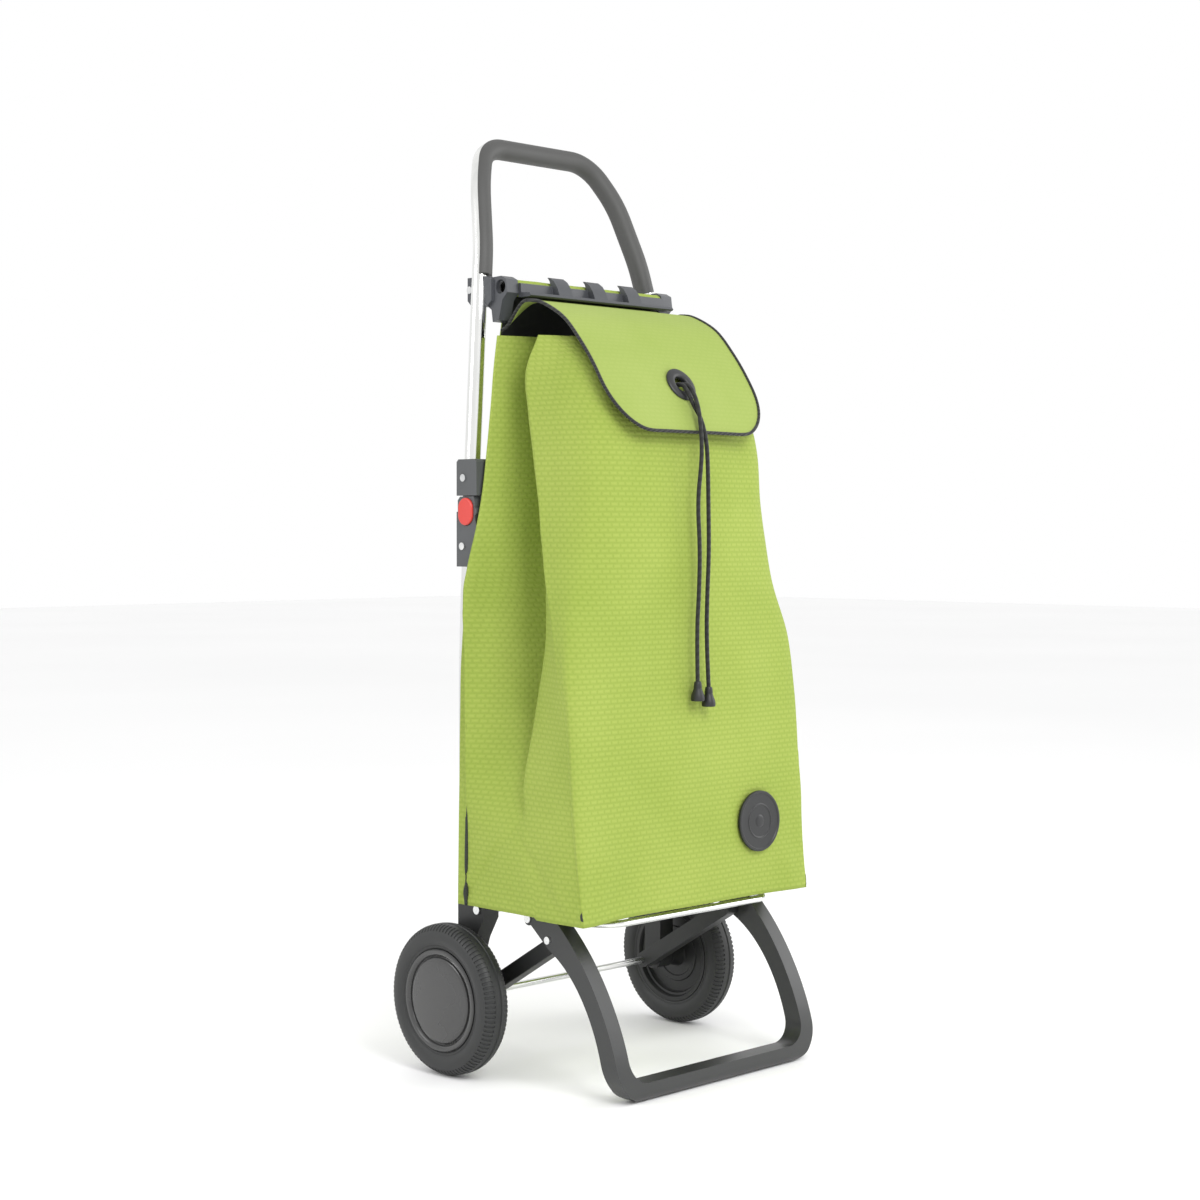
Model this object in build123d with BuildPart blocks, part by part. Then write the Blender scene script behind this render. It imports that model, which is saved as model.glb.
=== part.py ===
from build123d import *
import math
import os

os.makedirs("parts", exist_ok=True)

# A folding two-wheeled shopping trolley: a steel frame with a fold in its uprights,
# a shelf and a front leg that fold together, and a soft bag under a flap.
# X runs across the trolley, Y from front to back, and Z up from the floor. All in mm.

# Driving dimensions.
WHEEL_RADIUS = 85.3
WHEEL_WIDTH = 36.0
WHEEL_X = 189.6
AXLE_Y = 75.0
AXLE_RADIUS = 4.0
RUNNING_FIT = 0.05
GAP = 0.3

UPRIGHT_Y = 75.0
TUBE_RADIUS = 9.25
TUBE_WALL = 1.4
UPRIGHT_FOOT = (154.5, 172.0)
UPRIGHT_BOW = (162.5, 390.0)
UPRIGHT_TOP = (156.0, 606.0)

FOLD_Y = 58.0
FOLD_Z = 634.0
HINGE_X = 155.5
HINGE_BACK = 86.5
HINGE_FRONT = 53.0
HINGE_BOTTOM = 572.0
HINGE_TOP = 693.0

TILT_Z = 862.0
TUBE_TOP_Z = 1060.5
CROSSBAR_Y = 47.0
CROSSBAR_Z = 887.0
CROSSBAR_RADIUS = 8.0

RAIL_X = 138.0
ROD_RADIUS = 4.0
SHELF_Z = 185.5
SHELF_BACK_Y = 54.0
SHELF_FRONT_Y = -122.0
PIN_RADIUS = 3.0
LEG_PIVOT_Y = -26.0
STRUT_PIVOT = (-57.0, 165.0)
LEG_INNER_X = 143.0
LEG_OUTER_X = 163.0

BAG_BOTTOM = 193.6
CLOTH = 1.6
FLAP_HALF = 126.0

SIDES = (("left", -1), ("right", 1))


def across(sign, x, y, z):
    """A plane that looks outward along X, its own x running along +Y and its y along +Z."""
    return Plane(origin=(sign * x, y, z), x_dir=(0, 1, 0), z_dir=(1, 0, 0))


def between(sign, low, high):
    """The start and depth of an extrusion across X from low to high on one side."""
    return (low, high - low) if sign > 0 else (-high, high - low)


# Wheels and axle.

AXLE_AXIS = Axis((0, AXLE_Y, WHEEL_RADIUS), (1, 0, 0))


def wheel_profile_plane(sign):
    """The half-section plane of one wheel: its x runs outward, its y is the radius."""
    return Plane(origin=(sign * WHEEL_X, AXLE_Y, WHEEL_RADIUS), x_dir=(sign, 0, 0), z_dir=(0, -sign, 0))


HALF_WIDTH = WHEEL_WIDTH / 2
RIM_RADIUS = 58.0
CAP_RADIUS = 47.0

for side, sign in SIDES:
    with BuildPart() as tyre:
        with BuildSketch(wheel_profile_plane(sign)):
            with BuildLine():
                Polyline(
                    (-15, RIM_RADIUS), (15, RIM_RADIUS), (HALF_WIDTH, 64), (HALF_WIDTH, 75),
                    (13, 82.5), (6, WHEEL_RADIUS), (-6, WHEEL_RADIUS), (-13, 82.5),
                    (-HALF_WIDTH, 75), (-HALF_WIDTH, 64), close=True,
                )
            make_face()
        revolve(axis=AXLE_AXIS)
    tyre.part.label = f"tyre_{side}"
    export_step(tyre.part, f"parts/tyre_{side}.step")

    bore = AXLE_RADIUS + RUNNING_FIT
    with BuildPart() as wheel_core:
        with BuildSketch(wheel_profile_plane(sign)):
            with BuildLine():
                Polyline(
                    (-15, RIM_RADIUS), (15, RIM_RADIUS), (15, 54), (4, 51), (4, 12), (14, 12),
                    (14, bore), (-21, bore), (-21, 12), (-4, 14), (-4, 50), (-15, 54), close=True,
                )
            make_face()
        revolve(axis=AXLE_AXIS)
    wheel_core.part.label = f"wheel_core_{side}"
    export_step(wheel_core.part, f"parts/wheel_core_{side}.step")

    with BuildPart() as hub_cap:
        with BuildSketch(wheel_profile_plane(sign)):
            with BuildLine():
                Polyline(
                    (4, CAP_RADIUS), (14, CAP_RADIUS), (17, 44), (HALF_WIDTH, 36), (HALF_WIDTH, 0),
                    (16.6, 0), (16.6, 36), (15.5, 42.5), (13, 45), (4, 45), close=True,
                )
            make_face()
        revolve(axis=AXLE_AXIS)
    hub_cap.part.label = f"hub_cap_{side}"
    export_step(hub_cap.part, f"parts/hub_cap_{side}.step")

    with BuildPart() as axle_clip:
        start, depth = between(sign, WHEEL_X + 14.3, WHEEL_X + 15.5)
        with BuildSketch(across(1, start, AXLE_Y, WHEEL_RADIUS)):
            Circle(8)
            Circle(AXLE_RADIUS, mode=Mode.SUBTRACT)
        extrude(amount=depth)
    axle_clip.part.label = f"axle_clip_{side}"
    export_step(axle_clip.part, f"parts/axle_clip_{side}.step")

    with BuildPart() as axle_washer:
        start, depth = between(sign, 166.0, WHEEL_X - 21 - GAP)
        with BuildSketch(across(1, start, AXLE_Y, WHEEL_RADIUS)):
            Circle(9)
            Circle(AXLE_RADIUS, mode=Mode.SUBTRACT)
        extrude(amount=depth)
    axle_washer.part.label = f"axle_washer_{side}"
    export_step(axle_washer.part, f"parts/axle_washer_{side}.step")

with BuildPart() as axle:
    with BuildSketch(across(-1, WHEEL_X + 16, AXLE_Y, WHEEL_RADIUS)):
        Circle(AXLE_RADIUS)
    extrude(amount=2 * (WHEEL_X + 16))
axle.part.label = "axle"
export_step(axle.part, "parts/axle.step")


# Lower frame: bowed uprights, moulded rear brackets and a brace.

def upright_arc(sign):
    """The centre line of one lower upright."""
    (x0, z0), (x1, z1), (x2, z2) = UPRIGHT_FOOT, UPRIGHT_BOW, UPRIGHT_TOP
    points = [(sign * x, UPRIGHT_Y, z) for x, z in ((x0, z0), (x1, z1), (x2, z2))]
    return ThreePointArc(*points)


def upright_solid(sign, radius):
    """A round bar along one lower upright."""
    with BuildPart() as bar:
        with BuildLine() as route:
            upright_arc(sign)
        with BuildSketch(Plane(origin=route.line @ 0, z_dir=route.line % 0)):
            Circle(radius)
        sweep(path=route.line)
    return bar.part


for side, sign in SIDES:
    with BuildPart() as lower_upright:
        add(upright_solid(sign, TUBE_RADIUS))
        add(upright_solid(sign, TUBE_RADIUS - TUBE_WALL), mode=Mode.SUBTRACT)
    lower_upright.part.label = f"lower_upright_{side}"
    export_step(lower_upright.part, f"parts/lower_upright_{side}.step")

    with BuildPart() as rear_bracket:
        start, depth = between(sign, 143.0, 166.0)
        with BuildSketch(across(1, start, 0, 0)):
            with BuildLine():
                Polyline(
                    (87, 212), (66, 212), (66, 191.5), (46, 191.5), (44, 189), (44, 176),
                    (58, 152), (62, 140), (62, 85), (88, 85), (88, 150), (87, 160), close=True,
                )
            make_face()
            with Locations((AXLE_Y, WHEEL_RADIUS)):
                Circle(13)
                Circle(AXLE_RADIUS, mode=Mode.SUBTRACT)
            with Locations((SHELF_BACK_Y, SHELF_Z)):
                Circle(PIN_RADIUS + RUNNING_FIT, mode=Mode.SUBTRACT)
        extrude(amount=depth)
        add(upright_solid(sign, TUBE_RADIUS), mode=Mode.SUBTRACT)
    rear_bracket.part.label = f"rear_bracket_{side}"
    export_step(rear_bracket.part, f"parts/rear_bracket_{side}.step")

BRACE_Z = 232.0
BRACE_HALF = 148.0
with BuildPart() as rear_brace:
    with BuildSketch(across(-1, BRACE_HALF + 4, UPRIGHT_Y, BRACE_Z)):
        Circle(6)
        Circle(4.8, mode=Mode.SUBTRACT)
    extrude(amount=2 * (BRACE_HALF + 4))
    for side, sign in SIDES:
        add(upright_solid(sign, TUBE_RADIUS), mode=Mode.SUBTRACT)
rear_brace.part.label = "rear_brace"
export_step(rear_brace.part, "parts/rear_brace.step")


# Fold joints in the uprights: a half-lap hinge with a push button in its outer cheek.

LAP_X = HINGE_X + 2.7
CHEEK_X = HINGE_X + 12
INNER_X = HINGE_X - 12
KNUCKLE_RADIUS = 5.0
FOLD_PIN_RADIUS = 2.5
BUTTON_Y = 70.0
BUTTON_RADIUS = 11.5
BUTTON_STRAIGHT = 8.0
BUTTON_BACK_X = HINGE_X + 11.2
POCKET_X = HINGE_X + 7.8
LUG_TOP = 651.0
RIVET_UP = (74.5, 672.0)
RIVET_DOWN = (76.5, 595.0)

UPPER_TUBE_FOOT = (155.3, 655.0)
UPPER_TUBE_BEND = (143.0, TILT_Z)
HANDLE_CORNERS = ((129.0, 87.0, 935.0), (112.5, 110.0, 1010.0), (86.0, 134.0, TUBE_TOP_Z))
HANDLE_BENDS = (240.0, 160.0, 46.0)


def handle_line(first, trim):
    """The handle's centre line from its first points, back and over the arch and down again."""
    near = list(first) + list(HANDLE_CORNERS)
    far = [(-x, y, z) for x, y, z in reversed(near)]
    bends = list(HANDLE_BENDS) + list(reversed(HANDLE_BENDS))
    return FilletPolyline(*near, *far, radius=[trim] + bends + [trim] if trim else bends)


def upper_tube_solid(radius):
    """A round bar along the whole upper tube."""
    foot = (UPPER_TUBE_FOOT[0], UPRIGHT_Y, UPPER_TUBE_FOOT[1])
    bend = (UPPER_TUBE_BEND[0], UPRIGHT_Y + 1, UPPER_TUBE_BEND[1])
    with BuildPart() as bar:
        with BuildLine() as route:
            handle_line((foot, bend), 120.0)
        with BuildSketch(Plane(origin=route.line @ 0, z_dir=route.line % 0)):
            Circle(radius)
        sweep(path=route.line)
    return bar.part


for side, sign in SIDES:
    start_inner, depth_inner = between(sign, INNER_X, LAP_X)
    start_outer, depth_outer = between(sign, LAP_X, CHEEK_X)
    start_lug, depth_lug = between(sign, LAP_X + GAP, CHEEK_X)

    with BuildPart() as hinge_lower:
        with BuildSketch(across(1, start_inner, 0, 0)):
            with BuildLine():
                Polyline(
                    (HINGE_BACK, FOLD_Z - 0.15), (FOLD_Y, FOLD_Z - 0.15), (HINGE_FRONT, 617),
                    (HINGE_FRONT, 602), (66, HINGE_BOTTOM), (HINGE_BACK, HINGE_BOTTOM), close=True,
                )
            make_face()
            with Locations((FOLD_Y, FOLD_Z)):
                Circle(KNUCKLE_RADIUS + 0.4, mode=Mode.SUBTRACT)
        extrude(amount=depth_inner)
        with BuildSketch(across(1, start_outer, 0, 0)):
            with BuildLine():
                Polyline(
                    (HINGE_BACK, FOLD_Z - 0.15), (FOLD_Y, FOLD_Z - 0.15), (HINGE_FRONT, 617),
                    (HINGE_FRONT, 602), (66, HINGE_BOTTOM), (HINGE_BACK, HINGE_BOTTOM), close=True,
                )
            make_face()
        extrude(amount=depth_outer)
        with BuildSketch(across(1, start_lug, 0, 0)):
            with BuildLine():
                Polyline(
                    (HINGE_BACK - 2, 620), (HINGE_BACK - 2, LUG_TOP - 4), (HINGE_BACK - 6, LUG_TOP),
                    (FOLD_Y, LUG_TOP), (FOLD_Y - 2, LUG_TOP - 8), (FOLD_Y - 2, 620), close=True,
                )
            make_face()
            with Locations((FOLD_Y, FOLD_Z)):
                Circle(KNUCKLE_RADIUS)
        extrude(amount=depth_lug)
        pocket_start, pocket_depth = between(sign, POCKET_X, CHEEK_X + 1)
        with BuildSketch(across(1, pocket_start, BUTTON_Y, FOLD_Z)):
            SlotCenterToCenter(BUTTON_STRAIGHT, 2 * (BUTTON_RADIUS + GAP), rotation=90)
        extrude(amount=pocket_depth, mode=Mode.SUBTRACT)
        pin_start, pin_depth = between(sign, LAP_X, POCKET_X - 0.8)
        with BuildSketch(across(1, pin_start, FOLD_Y, FOLD_Z)):
            Circle(FOLD_PIN_RADIUS)
        extrude(amount=pin_depth, mode=Mode.SUBTRACT)
        add(upright_solid(sign, TUBE_RADIUS), mode=Mode.SUBTRACT)
    hinge_lower.part.label = f"hinge_lower_{side}"
    export_step(hinge_lower.part, f"parts/hinge_lower_{side}.step")

    with BuildPart() as hinge_upper:
        with BuildSketch(across(1, start_inner, 0, 0)):
            with BuildLine():
                Polyline(
                    (HINGE_BACK, FOLD_Z + 0.15), (HINGE_BACK, HINGE_TOP - 3), (HINGE_BACK - 3, HINGE_TOP),
                    (HINGE_FRONT + 3, HINGE_TOP), (HINGE_FRONT, HINGE_TOP - 3), (HINGE_FRONT, 651),
                    (FOLD_Y, FOLD_Z + 0.15), close=True,
                )
            make_face()
            with Locations((FOLD_Y, FOLD_Z)):
                Circle(KNUCKLE_RADIUS)
                Circle(FOLD_PIN_RADIUS + RUNNING_FIT, mode=Mode.SUBTRACT)
        extrude(amount=depth_inner)
        with BuildSketch(across(1, start_outer, 0, 0)):
            with BuildLine():
                Polyline(
                    (HINGE_BACK, LUG_TOP + 1), (HINGE_BACK, HINGE_TOP - 3), (HINGE_BACK - 3, HINGE_TOP),
                    (HINGE_FRONT + 3, HINGE_TOP), (HINGE_FRONT, HINGE_TOP - 3),
                    (HINGE_FRONT, LUG_TOP + 1), close=True,
                )
            make_face()
        extrude(amount=depth_outer)
        add(upper_tube_solid(TUBE_RADIUS), mode=Mode.SUBTRACT)
    hinge_upper.part.label = f"hinge_upper_{side}"
    export_step(hinge_upper.part, f"parts/hinge_upper_{side}.step")

    with BuildPart() as fold_pin:
        pin_start, pin_depth = between(sign, INNER_X - 1, POCKET_X - 0.8)
        with BuildSketch(across(1, pin_start, FOLD_Y, FOLD_Z)):
            Circle(FOLD_PIN_RADIUS)
        extrude(amount=pin_depth)
        head_start, head_depth = between(sign, INNER_X - 2.3, INNER_X - GAP)
        with BuildSketch(across(1, head_start, FOLD_Y, FOLD_Z)):
            Circle(4)
        extrude(amount=head_depth)
    fold_pin.part.label = f"fold_pin_{side}"
    export_step(fold_pin.part, f"parts/fold_pin_{side}.step")

    with BuildPart() as button:
        start, depth = between(sign, BUTTON_BACK_X, CHEEK_X + 3)
        with BuildSketch(across(1, start, BUTTON_Y, FOLD_Z)):
            SlotCenterToCenter(BUTTON_STRAIGHT, 2 * BUTTON_RADIUS, rotation=90)
        extrude(amount=depth)
        fillet(button.faces().sort_by(Axis.X)[-1 if sign > 0 else 0].edges(), 1.6)
    button.part.label = f"release_button_{side}"
    export_step(button.part, f"parts/release_button_{side}.step")

    with BuildPart() as button_spring:
        low, high = POCKET_X, BUTTON_BACK_X
        with BuildSketch(Plane(origin=(0, BUTTON_Y, FOLD_Z), x_dir=(sign, 0, 0), z_dir=(0, -sign, 0))):
            with BuildLine():
                Polyline((low, 8), (low + 0.6, 8), (high, 4.2), (high - 0.6, 4.2), close=True)
            make_face()
        revolve(axis=Axis((0, BUTTON_Y, FOLD_Z), (1, 0, 0)))
    button_spring.part.label = f"button_spring_{side}"
    export_step(button_spring.part, f"parts/button_spring_{side}.step")


def dome_rivets(label, spots, length):
    """Round-headed rivets: each spot is a sign, the face it sits on, and its Y and Z."""
    with BuildPart() as rivets:
        for sign, face_x, y, z in spots:
            head_start, head_depth = between(sign, face_x, face_x + 1.8)
            with BuildSketch(across(1, head_start, y, z)):
                Circle(4.2)
            extrude(amount=head_depth)
            shank_start, shank_depth = between(sign, face_x - length, face_x)
            with BuildSketch(across(1, shank_start, y, z)):
                Circle(2)
            extrude(amount=shank_depth)
    rivets.part.label = label
    export_step(rivets.part, f"parts/{label}.step")


# Upper frame: one bent tube with a grip, crossbar, hook rail and moulded brackets.

with BuildPart() as upper_tube:
    add(upper_tube_solid(TUBE_RADIUS))
    add(upper_tube_solid(TUBE_RADIUS - TUBE_WALL), mode=Mode.SUBTRACT)
upper_tube.part.label = "upper_tube"
export_step(upper_tube.part, "parts/upper_tube.step")

GRIP_START = (135.3, 82.1, 902.0)
GRIP_RADIUS = 12.0
GRIP_SHIFT = 1.4
GRIP_EDGE = 2.0
GRIP_CLEARANCE = 0.06
with BuildPart() as handle_grip:
    with BuildLine() as grip_route:
        handle_line((GRIP_START,), 0)
    start_plane = Plane(origin=grip_route.line @ 0, x_dir=(1, 0, 0), z_dir=grip_route.line % 0)
    with BuildSketch(start_plane):
        with Locations((-GRIP_SHIFT, -GRIP_SHIFT)):
            Circle(GRIP_RADIUS)
        with Locations((0.8 * GRIP_EDGE, 0.6 * GRIP_EDGE)):
            Rectangle(30, 60, rotation=37, align=(Align.MIN, Align.CENTER), mode=Mode.SUBTRACT)
        Circle(TUBE_RADIUS + GRIP_CLEARANCE, mode=Mode.SUBTRACT)
    sweep(path=grip_route.line)
handle_grip.part.label = "handle_grip"
export_step(handle_grip.part, "parts/handle_grip.step")

BRACKET_IN = 118.0
BRACKET_OUT = 140.0
with BuildPart() as crossbar:
    with BuildSketch(across(-1, BRACKET_IN + 12, CROSSBAR_Y, CROSSBAR_Z)):
        Circle(CROSSBAR_RADIUS)
        Circle(CROSSBAR_RADIUS - 1.2, mode=Mode.SUBTRACT)
    extrude(amount=2 * (BRACKET_IN + 12))
crossbar.part.label = "crossbar"
export_step(crossbar.part, "parts/crossbar.step")

SLEEVE_RADIUS = CROSSBAR_RADIUS + 1.4
with BuildPart() as crossbar_sleeve:
    with BuildSketch(across(-1, BRACKET_IN - 1, CROSSBAR_Y, CROSSBAR_Z)):
        Circle(SLEEVE_RADIUS)
        Circle(CROSSBAR_RADIUS, mode=Mode.SUBTRACT)
    extrude(amount=2 * (BRACKET_IN - 1))
crossbar_sleeve.part.label = "crossbar_sleeve"
export_step(crossbar_sleeve.part, "parts/crossbar_sleeve.step")

for side, sign in SIDES:
    with BuildPart() as crossbar_bracket:
        start, depth = between(sign, 131.0, BRACKET_OUT)
        with BuildSketch(across(1, start, 0, 0)):
            with BuildLine():
                Polyline(
                    (98, 900), (66, 900), (58, 896), (58, 872), (66, 866), (90, 866), (98, 874),
                    close=True,
                )
            make_face()
        extrude(amount=depth)
        arm_start, arm_depth = between(sign, BRACKET_IN, 136.0)
        with BuildSketch(across(1, arm_start, 0, 0)):
            with BuildLine():
                Polyline(
                    (72, 898), (46, 899), (38, 895), (36, 880), (44, 872), (50, 850), (60, 848),
                    (62, 862), (74, 870), close=True,
                )
            make_face()
            with Locations((CROSSBAR_Y, CROSSBAR_Z)):
                Circle(CROSSBAR_RADIUS, mode=Mode.SUBTRACT)
        extrude(amount=arm_depth)
        add(upper_tube_solid(TUBE_RADIUS), mode=Mode.SUBTRACT)
    crossbar_bracket.part.label = f"crossbar_bracket_{side}"
    export_step(crossbar_bracket.part, f"parts/crossbar_bracket_{side}.step")

HOOK_PITCH = 57.0
HOOK_WIDTH = 22.0
RAIL_HALF = 126.0
with BuildPart() as hook_rail:
    rail_top = CROSSBAR_Z - 6
    with BuildSketch(across(-1, BRACKET_IN - 0.5, 0, 0)):
        with BuildLine():
            Polyline(
                (37.3, rail_top + 11), (33.5, rail_top + 10), (32.5, rail_top), (19, rail_top - 1),
                (17, rail_top - 4), (19, rail_top - 5.5), (37.3, rail_top - 5.5), close=True,
            )
        make_face()
    extrude(amount=2 * (BRACKET_IN - 0.5))
    for place in (-1, 0, 1):
        with BuildSketch(across(1, place * HOOK_PITCH - HOOK_WIDTH / 2, 0, 0)):
            with BuildLine():
                Polyline(
                    (21, rail_top - 2), (25, rail_top + 8), (31, rail_top + 16), (38, rail_top + 20.5),
                    (42, rail_top + 21), (38.5, rail_top + 17), (36.5, rail_top + 11),
                    (36.5, rail_top - 2), close=True,
                )
            make_face()
        extrude(amount=HOOK_WIDTH)
hook_rail.part.label = "hook_rail"
export_step(hook_rail.part, "parts/hook_rail.step")

dome_rivets("hinge_rivets_upper", [(s, CHEEK_X, *RIVET_UP) for _, s in SIDES], 2.6)
dome_rivets("hinge_rivets_lower", [(s, CHEEK_X, *RIVET_DOWN) for _, s in SIDES], 2.0)
dome_rivets("bracket_rivets", [(s, BRACKET_OUT, 93.4, 886.0) for _, s in SIDES], 2.0)


# Shelf: a bent rod hinged on the rear brackets, with saddles, a board and the bag's base.

with BuildPart() as shelf_loop:
    with BuildLine() as rod_route:
        FilletPolyline(
            (-RAIL_X, SHELF_BACK_Y, SHELF_Z), (-RAIL_X, SHELF_FRONT_Y, SHELF_Z),
            (RAIL_X, SHELF_FRONT_Y, SHELF_Z), (RAIL_X, SHELF_BACK_Y, SHELF_Z), radius=28,
        )
    with BuildSketch(Plane(origin=rod_route.line @ 0, z_dir=rod_route.line % 0)):
        Circle(ROD_RADIUS)
    sweep(path=rod_route.line)
    for side, sign in SIDES:
        eye_start, eye_depth = between(sign, RAIL_X - ROD_RADIUS, RAIL_X + ROD_RADIUS)
        for eye_y in (SHELF_BACK_Y, LEG_PIVOT_Y):
            with BuildSketch(across(1, eye_start, eye_y, SHELF_Z)):
                Circle(6.5)
            extrude(amount=eye_depth)
        for eye_y in (SHELF_BACK_Y, LEG_PIVOT_Y):
            with BuildSketch(across(1, eye_start, eye_y, SHELF_Z)):
                Circle(PIN_RADIUS)
            extrude(amount=eye_depth, mode=Mode.SUBTRACT)
shelf_loop.part.label = "shelf_loop"
export_step(shelf_loop.part, "parts/shelf_loop.step")

with BuildPart() as shelf_pins:
    for side, sign in SIDES:
        for pin_y, outer_x in ((SHELF_BACK_Y, 166.0), (LEG_PIVOT_Y, LEG_OUTER_X)):
            start, depth = between(sign, RAIL_X - ROD_RADIUS, outer_x + GAP)
            with BuildSketch(across(1, start, pin_y, SHELF_Z)):
                Circle(PIN_RADIUS)
            extrude(amount=depth)
            start, depth = between(sign, outer_x + GAP, outer_x + 2.3)
            with BuildSketch(across(1, start, pin_y, SHELF_Z)):
                Circle(5)
            extrude(amount=depth)
shelf_pins.part.label = "shelf_pins"
export_step(shelf_pins.part, "parts/shelf_pins.step")

BASE_HALF = 183.6
BASE_BACK = 62.6
BASE_FRONT = -130.0
with BuildPart() as board_saddles:
    for side, sign in SIDES:
        for saddle_y in (25, -82):
            with Locations((sign * RAIL_X, saddle_y, BAG_BOTTOM)):
                Box(8, 18, BAG_BOTTOM - SHELF_Z + 1, align=(Align.CENTER, Align.CENTER, Align.MAX))
    with BuildSketch(Plane(origin=(0, -100, SHELF_Z), x_dir=(1, 0, 0), z_dir=(0, -1, 0))):
        with Locations((-RAIL_X, 0), (RAIL_X, 0)):
            Circle(ROD_RADIUS)
    extrude(amount=-160, mode=Mode.SUBTRACT)
board_saddles.part.label = "board_saddles"
export_step(board_saddles.part, "parts/board_saddles.step")

base_centre_y = (BASE_BACK + BASE_FRONT) / 2
base_depth = BASE_BACK - BASE_FRONT
NOTCH_X = 138.0
NOTCH_Y = 38.0


def notch_rear_corners():
    """Clears the rear corners of a base panel, so it swings up past the brackets and uprights."""
    for _, sign in SIDES:
        with Locations((sign * (NOTCH_X + BASE_HALF) / 2, (NOTCH_Y + BASE_BACK) / 2, BAG_BOTTOM)):
            Box(BASE_HALF - NOTCH_X + 2, BASE_BACK - NOTCH_Y + 2, 20, mode=Mode.SUBTRACT)


with BuildPart() as bag_base:
    with Locations((0, base_centre_y, BAG_BOTTOM)):
        Box(2 * BASE_HALF, base_depth, 1.8, align=(Align.CENTER, Align.CENTER, Align.MIN))
    notch_rear_corners()
bag_base.part.label = "bag_base"
export_step(bag_base.part, "parts/bag_base.step")

with BuildPart() as base_board:
    with Locations((0, base_centre_y, BAG_BOTTOM + 1.8)):
        Box(2 * BASE_HALF - 8, base_depth - 8, 3, align=(Align.CENTER, Align.CENTER, Align.MIN))
    notch_rear_corners()
base_board.part.label = "base_board"
export_step(base_board.part, "parts/base_board.step")


# Front leg: a moulded loop, cut from its side profile and its front outline.

FOOT_HALF = LEG_OUTER_X
with BuildPart() as front_leg:
    with BuildSketch(across(-1, FOOT_HALF, 0, 0)):
        with BuildLine():
            front_edge = Spline((-66, 190), (-106, 150), (-141, 96), (-160, 50), (-168, 12))
            toe = ThreePointArc(front_edge @ 1, (-165.7, 3), (-160, 0))
            sole = Line(toe @ 1, (-150, 0))
            heel = ThreePointArc(sole @ 1, (-145.3, 3.5), (-144, 14))
            back_edge = Spline(heel @ 1, (-137, 48), (-121, 88), (-92, 129), (-58, 155))
            under = Line(back_edge @ 1, (-30, 178.5))
            nose = ThreePointArc(under @ 1, (-18.8, 185), (-26, 192.8))
            crown = Line(nose @ 1, (-60, 192.8))
            Line(crown @ 1, front_edge @ 0)
        make_face()
    extrude(amount=2 * FOOT_HALF)
    with BuildSketch(Plane(origin=(0, -200, 0), x_dir=(1, 0, 0), z_dir=(0, -1, 0))) as outline:
        with Locations((0, 149)):
            RectangleRounded(2 * LEG_OUTER_X, 300, 44)
        with Locations((0, 170)):
            RectangleRounded(2 * LEG_INNER_X, 300, 26, mode=Mode.SUBTRACT)
    extrude(amount=-260, mode=Mode.INTERSECT)
    with BuildSketch(across(-1, FOOT_HALF + 1, LEG_PIVOT_Y, SHELF_Z)):
        Circle(PIN_RADIUS + RUNNING_FIT)
    extrude(amount=2 * FOOT_HALF + 2, mode=Mode.SUBTRACT)
    with BuildSketch(across(-1, FOOT_HALF + 1, *STRUT_PIVOT)):
        Circle(2)
    extrude(amount=2 * FOOT_HALF + 2, mode=Mode.SUBTRACT)
front_leg.part.label = "front_leg"
export_step(front_leg.part, "parts/front_leg.step")

dome_rivets("leg_rivets", [(s, LEG_OUTER_X, *STRUT_PIVOT) for _, s in SIDES], LEG_OUTER_X - LEG_INNER_X)

STRUT_IN = 124.0
STRUT_OUT = 141.7
strut_run_y = AXLE_Y - STRUT_PIVOT[0]
strut_run_z = WHEEL_RADIUS - STRUT_PIVOT[1]
for side, sign in SIDES:
    with BuildPart() as strut:
        start, depth = between(sign, STRUT_IN, STRUT_OUT)
        middle_y = AXLE_Y - strut_run_y / 2
        middle_z = WHEEL_RADIUS - strut_run_z / 2
        slope = math.degrees(math.atan2(strut_run_z, strut_run_y))
        with BuildSketch(across(1, start, middle_y, middle_z)):
            SlotCenterToCenter(math.hypot(strut_run_y, strut_run_z), 18, rotation=slope)
        extrude(amount=depth)
        with BuildSketch(across(1, start, AXLE_Y, WHEEL_RADIUS)):
            Circle(AXLE_RADIUS + RUNNING_FIT)
        extrude(amount=depth, mode=Mode.SUBTRACT)
    strut.part.label = f"strut_{side}"
    export_step(strut.part, f"parts/strut_{side}.step")


# Bag: four soft walls, each a thin ruled solid between horizontal sections.

def band(points):
    """A closed outline of the cloth's thickness, to the left of a run of points."""
    count = len(points)
    shifted = []
    for index, (x, y) in enumerate(points):
        before = points[max(index - 1, 0)]
        after = points[min(index + 1, count - 1)]
        run = math.hypot(after[0] - before[0], after[1] - before[1])
        shifted.append((x - CLOTH * (after[1] - before[1]) / run, y + CLOTH * (after[0] - before[0]) / run))
    return list(points) + shifted[::-1]


def cloth_wall(label, sections):
    """A thin wall ruled between sections, each a height and its run of points."""
    with BuildPart() as wall:
        for (low_z, low), (high_z, high) in zip(sections, sections[1:]):
            with BuildSketch(Plane.XY.offset(low_z)):
                Polygon(*band(low), align=None)
            with BuildSketch(Plane.XY.offset(high_z)):
                Polygon(*band(high), align=None)
            loft(ruled=True)
    wall.part.label = label
    export_step(wall.part, f"parts/{label}.step")


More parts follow.
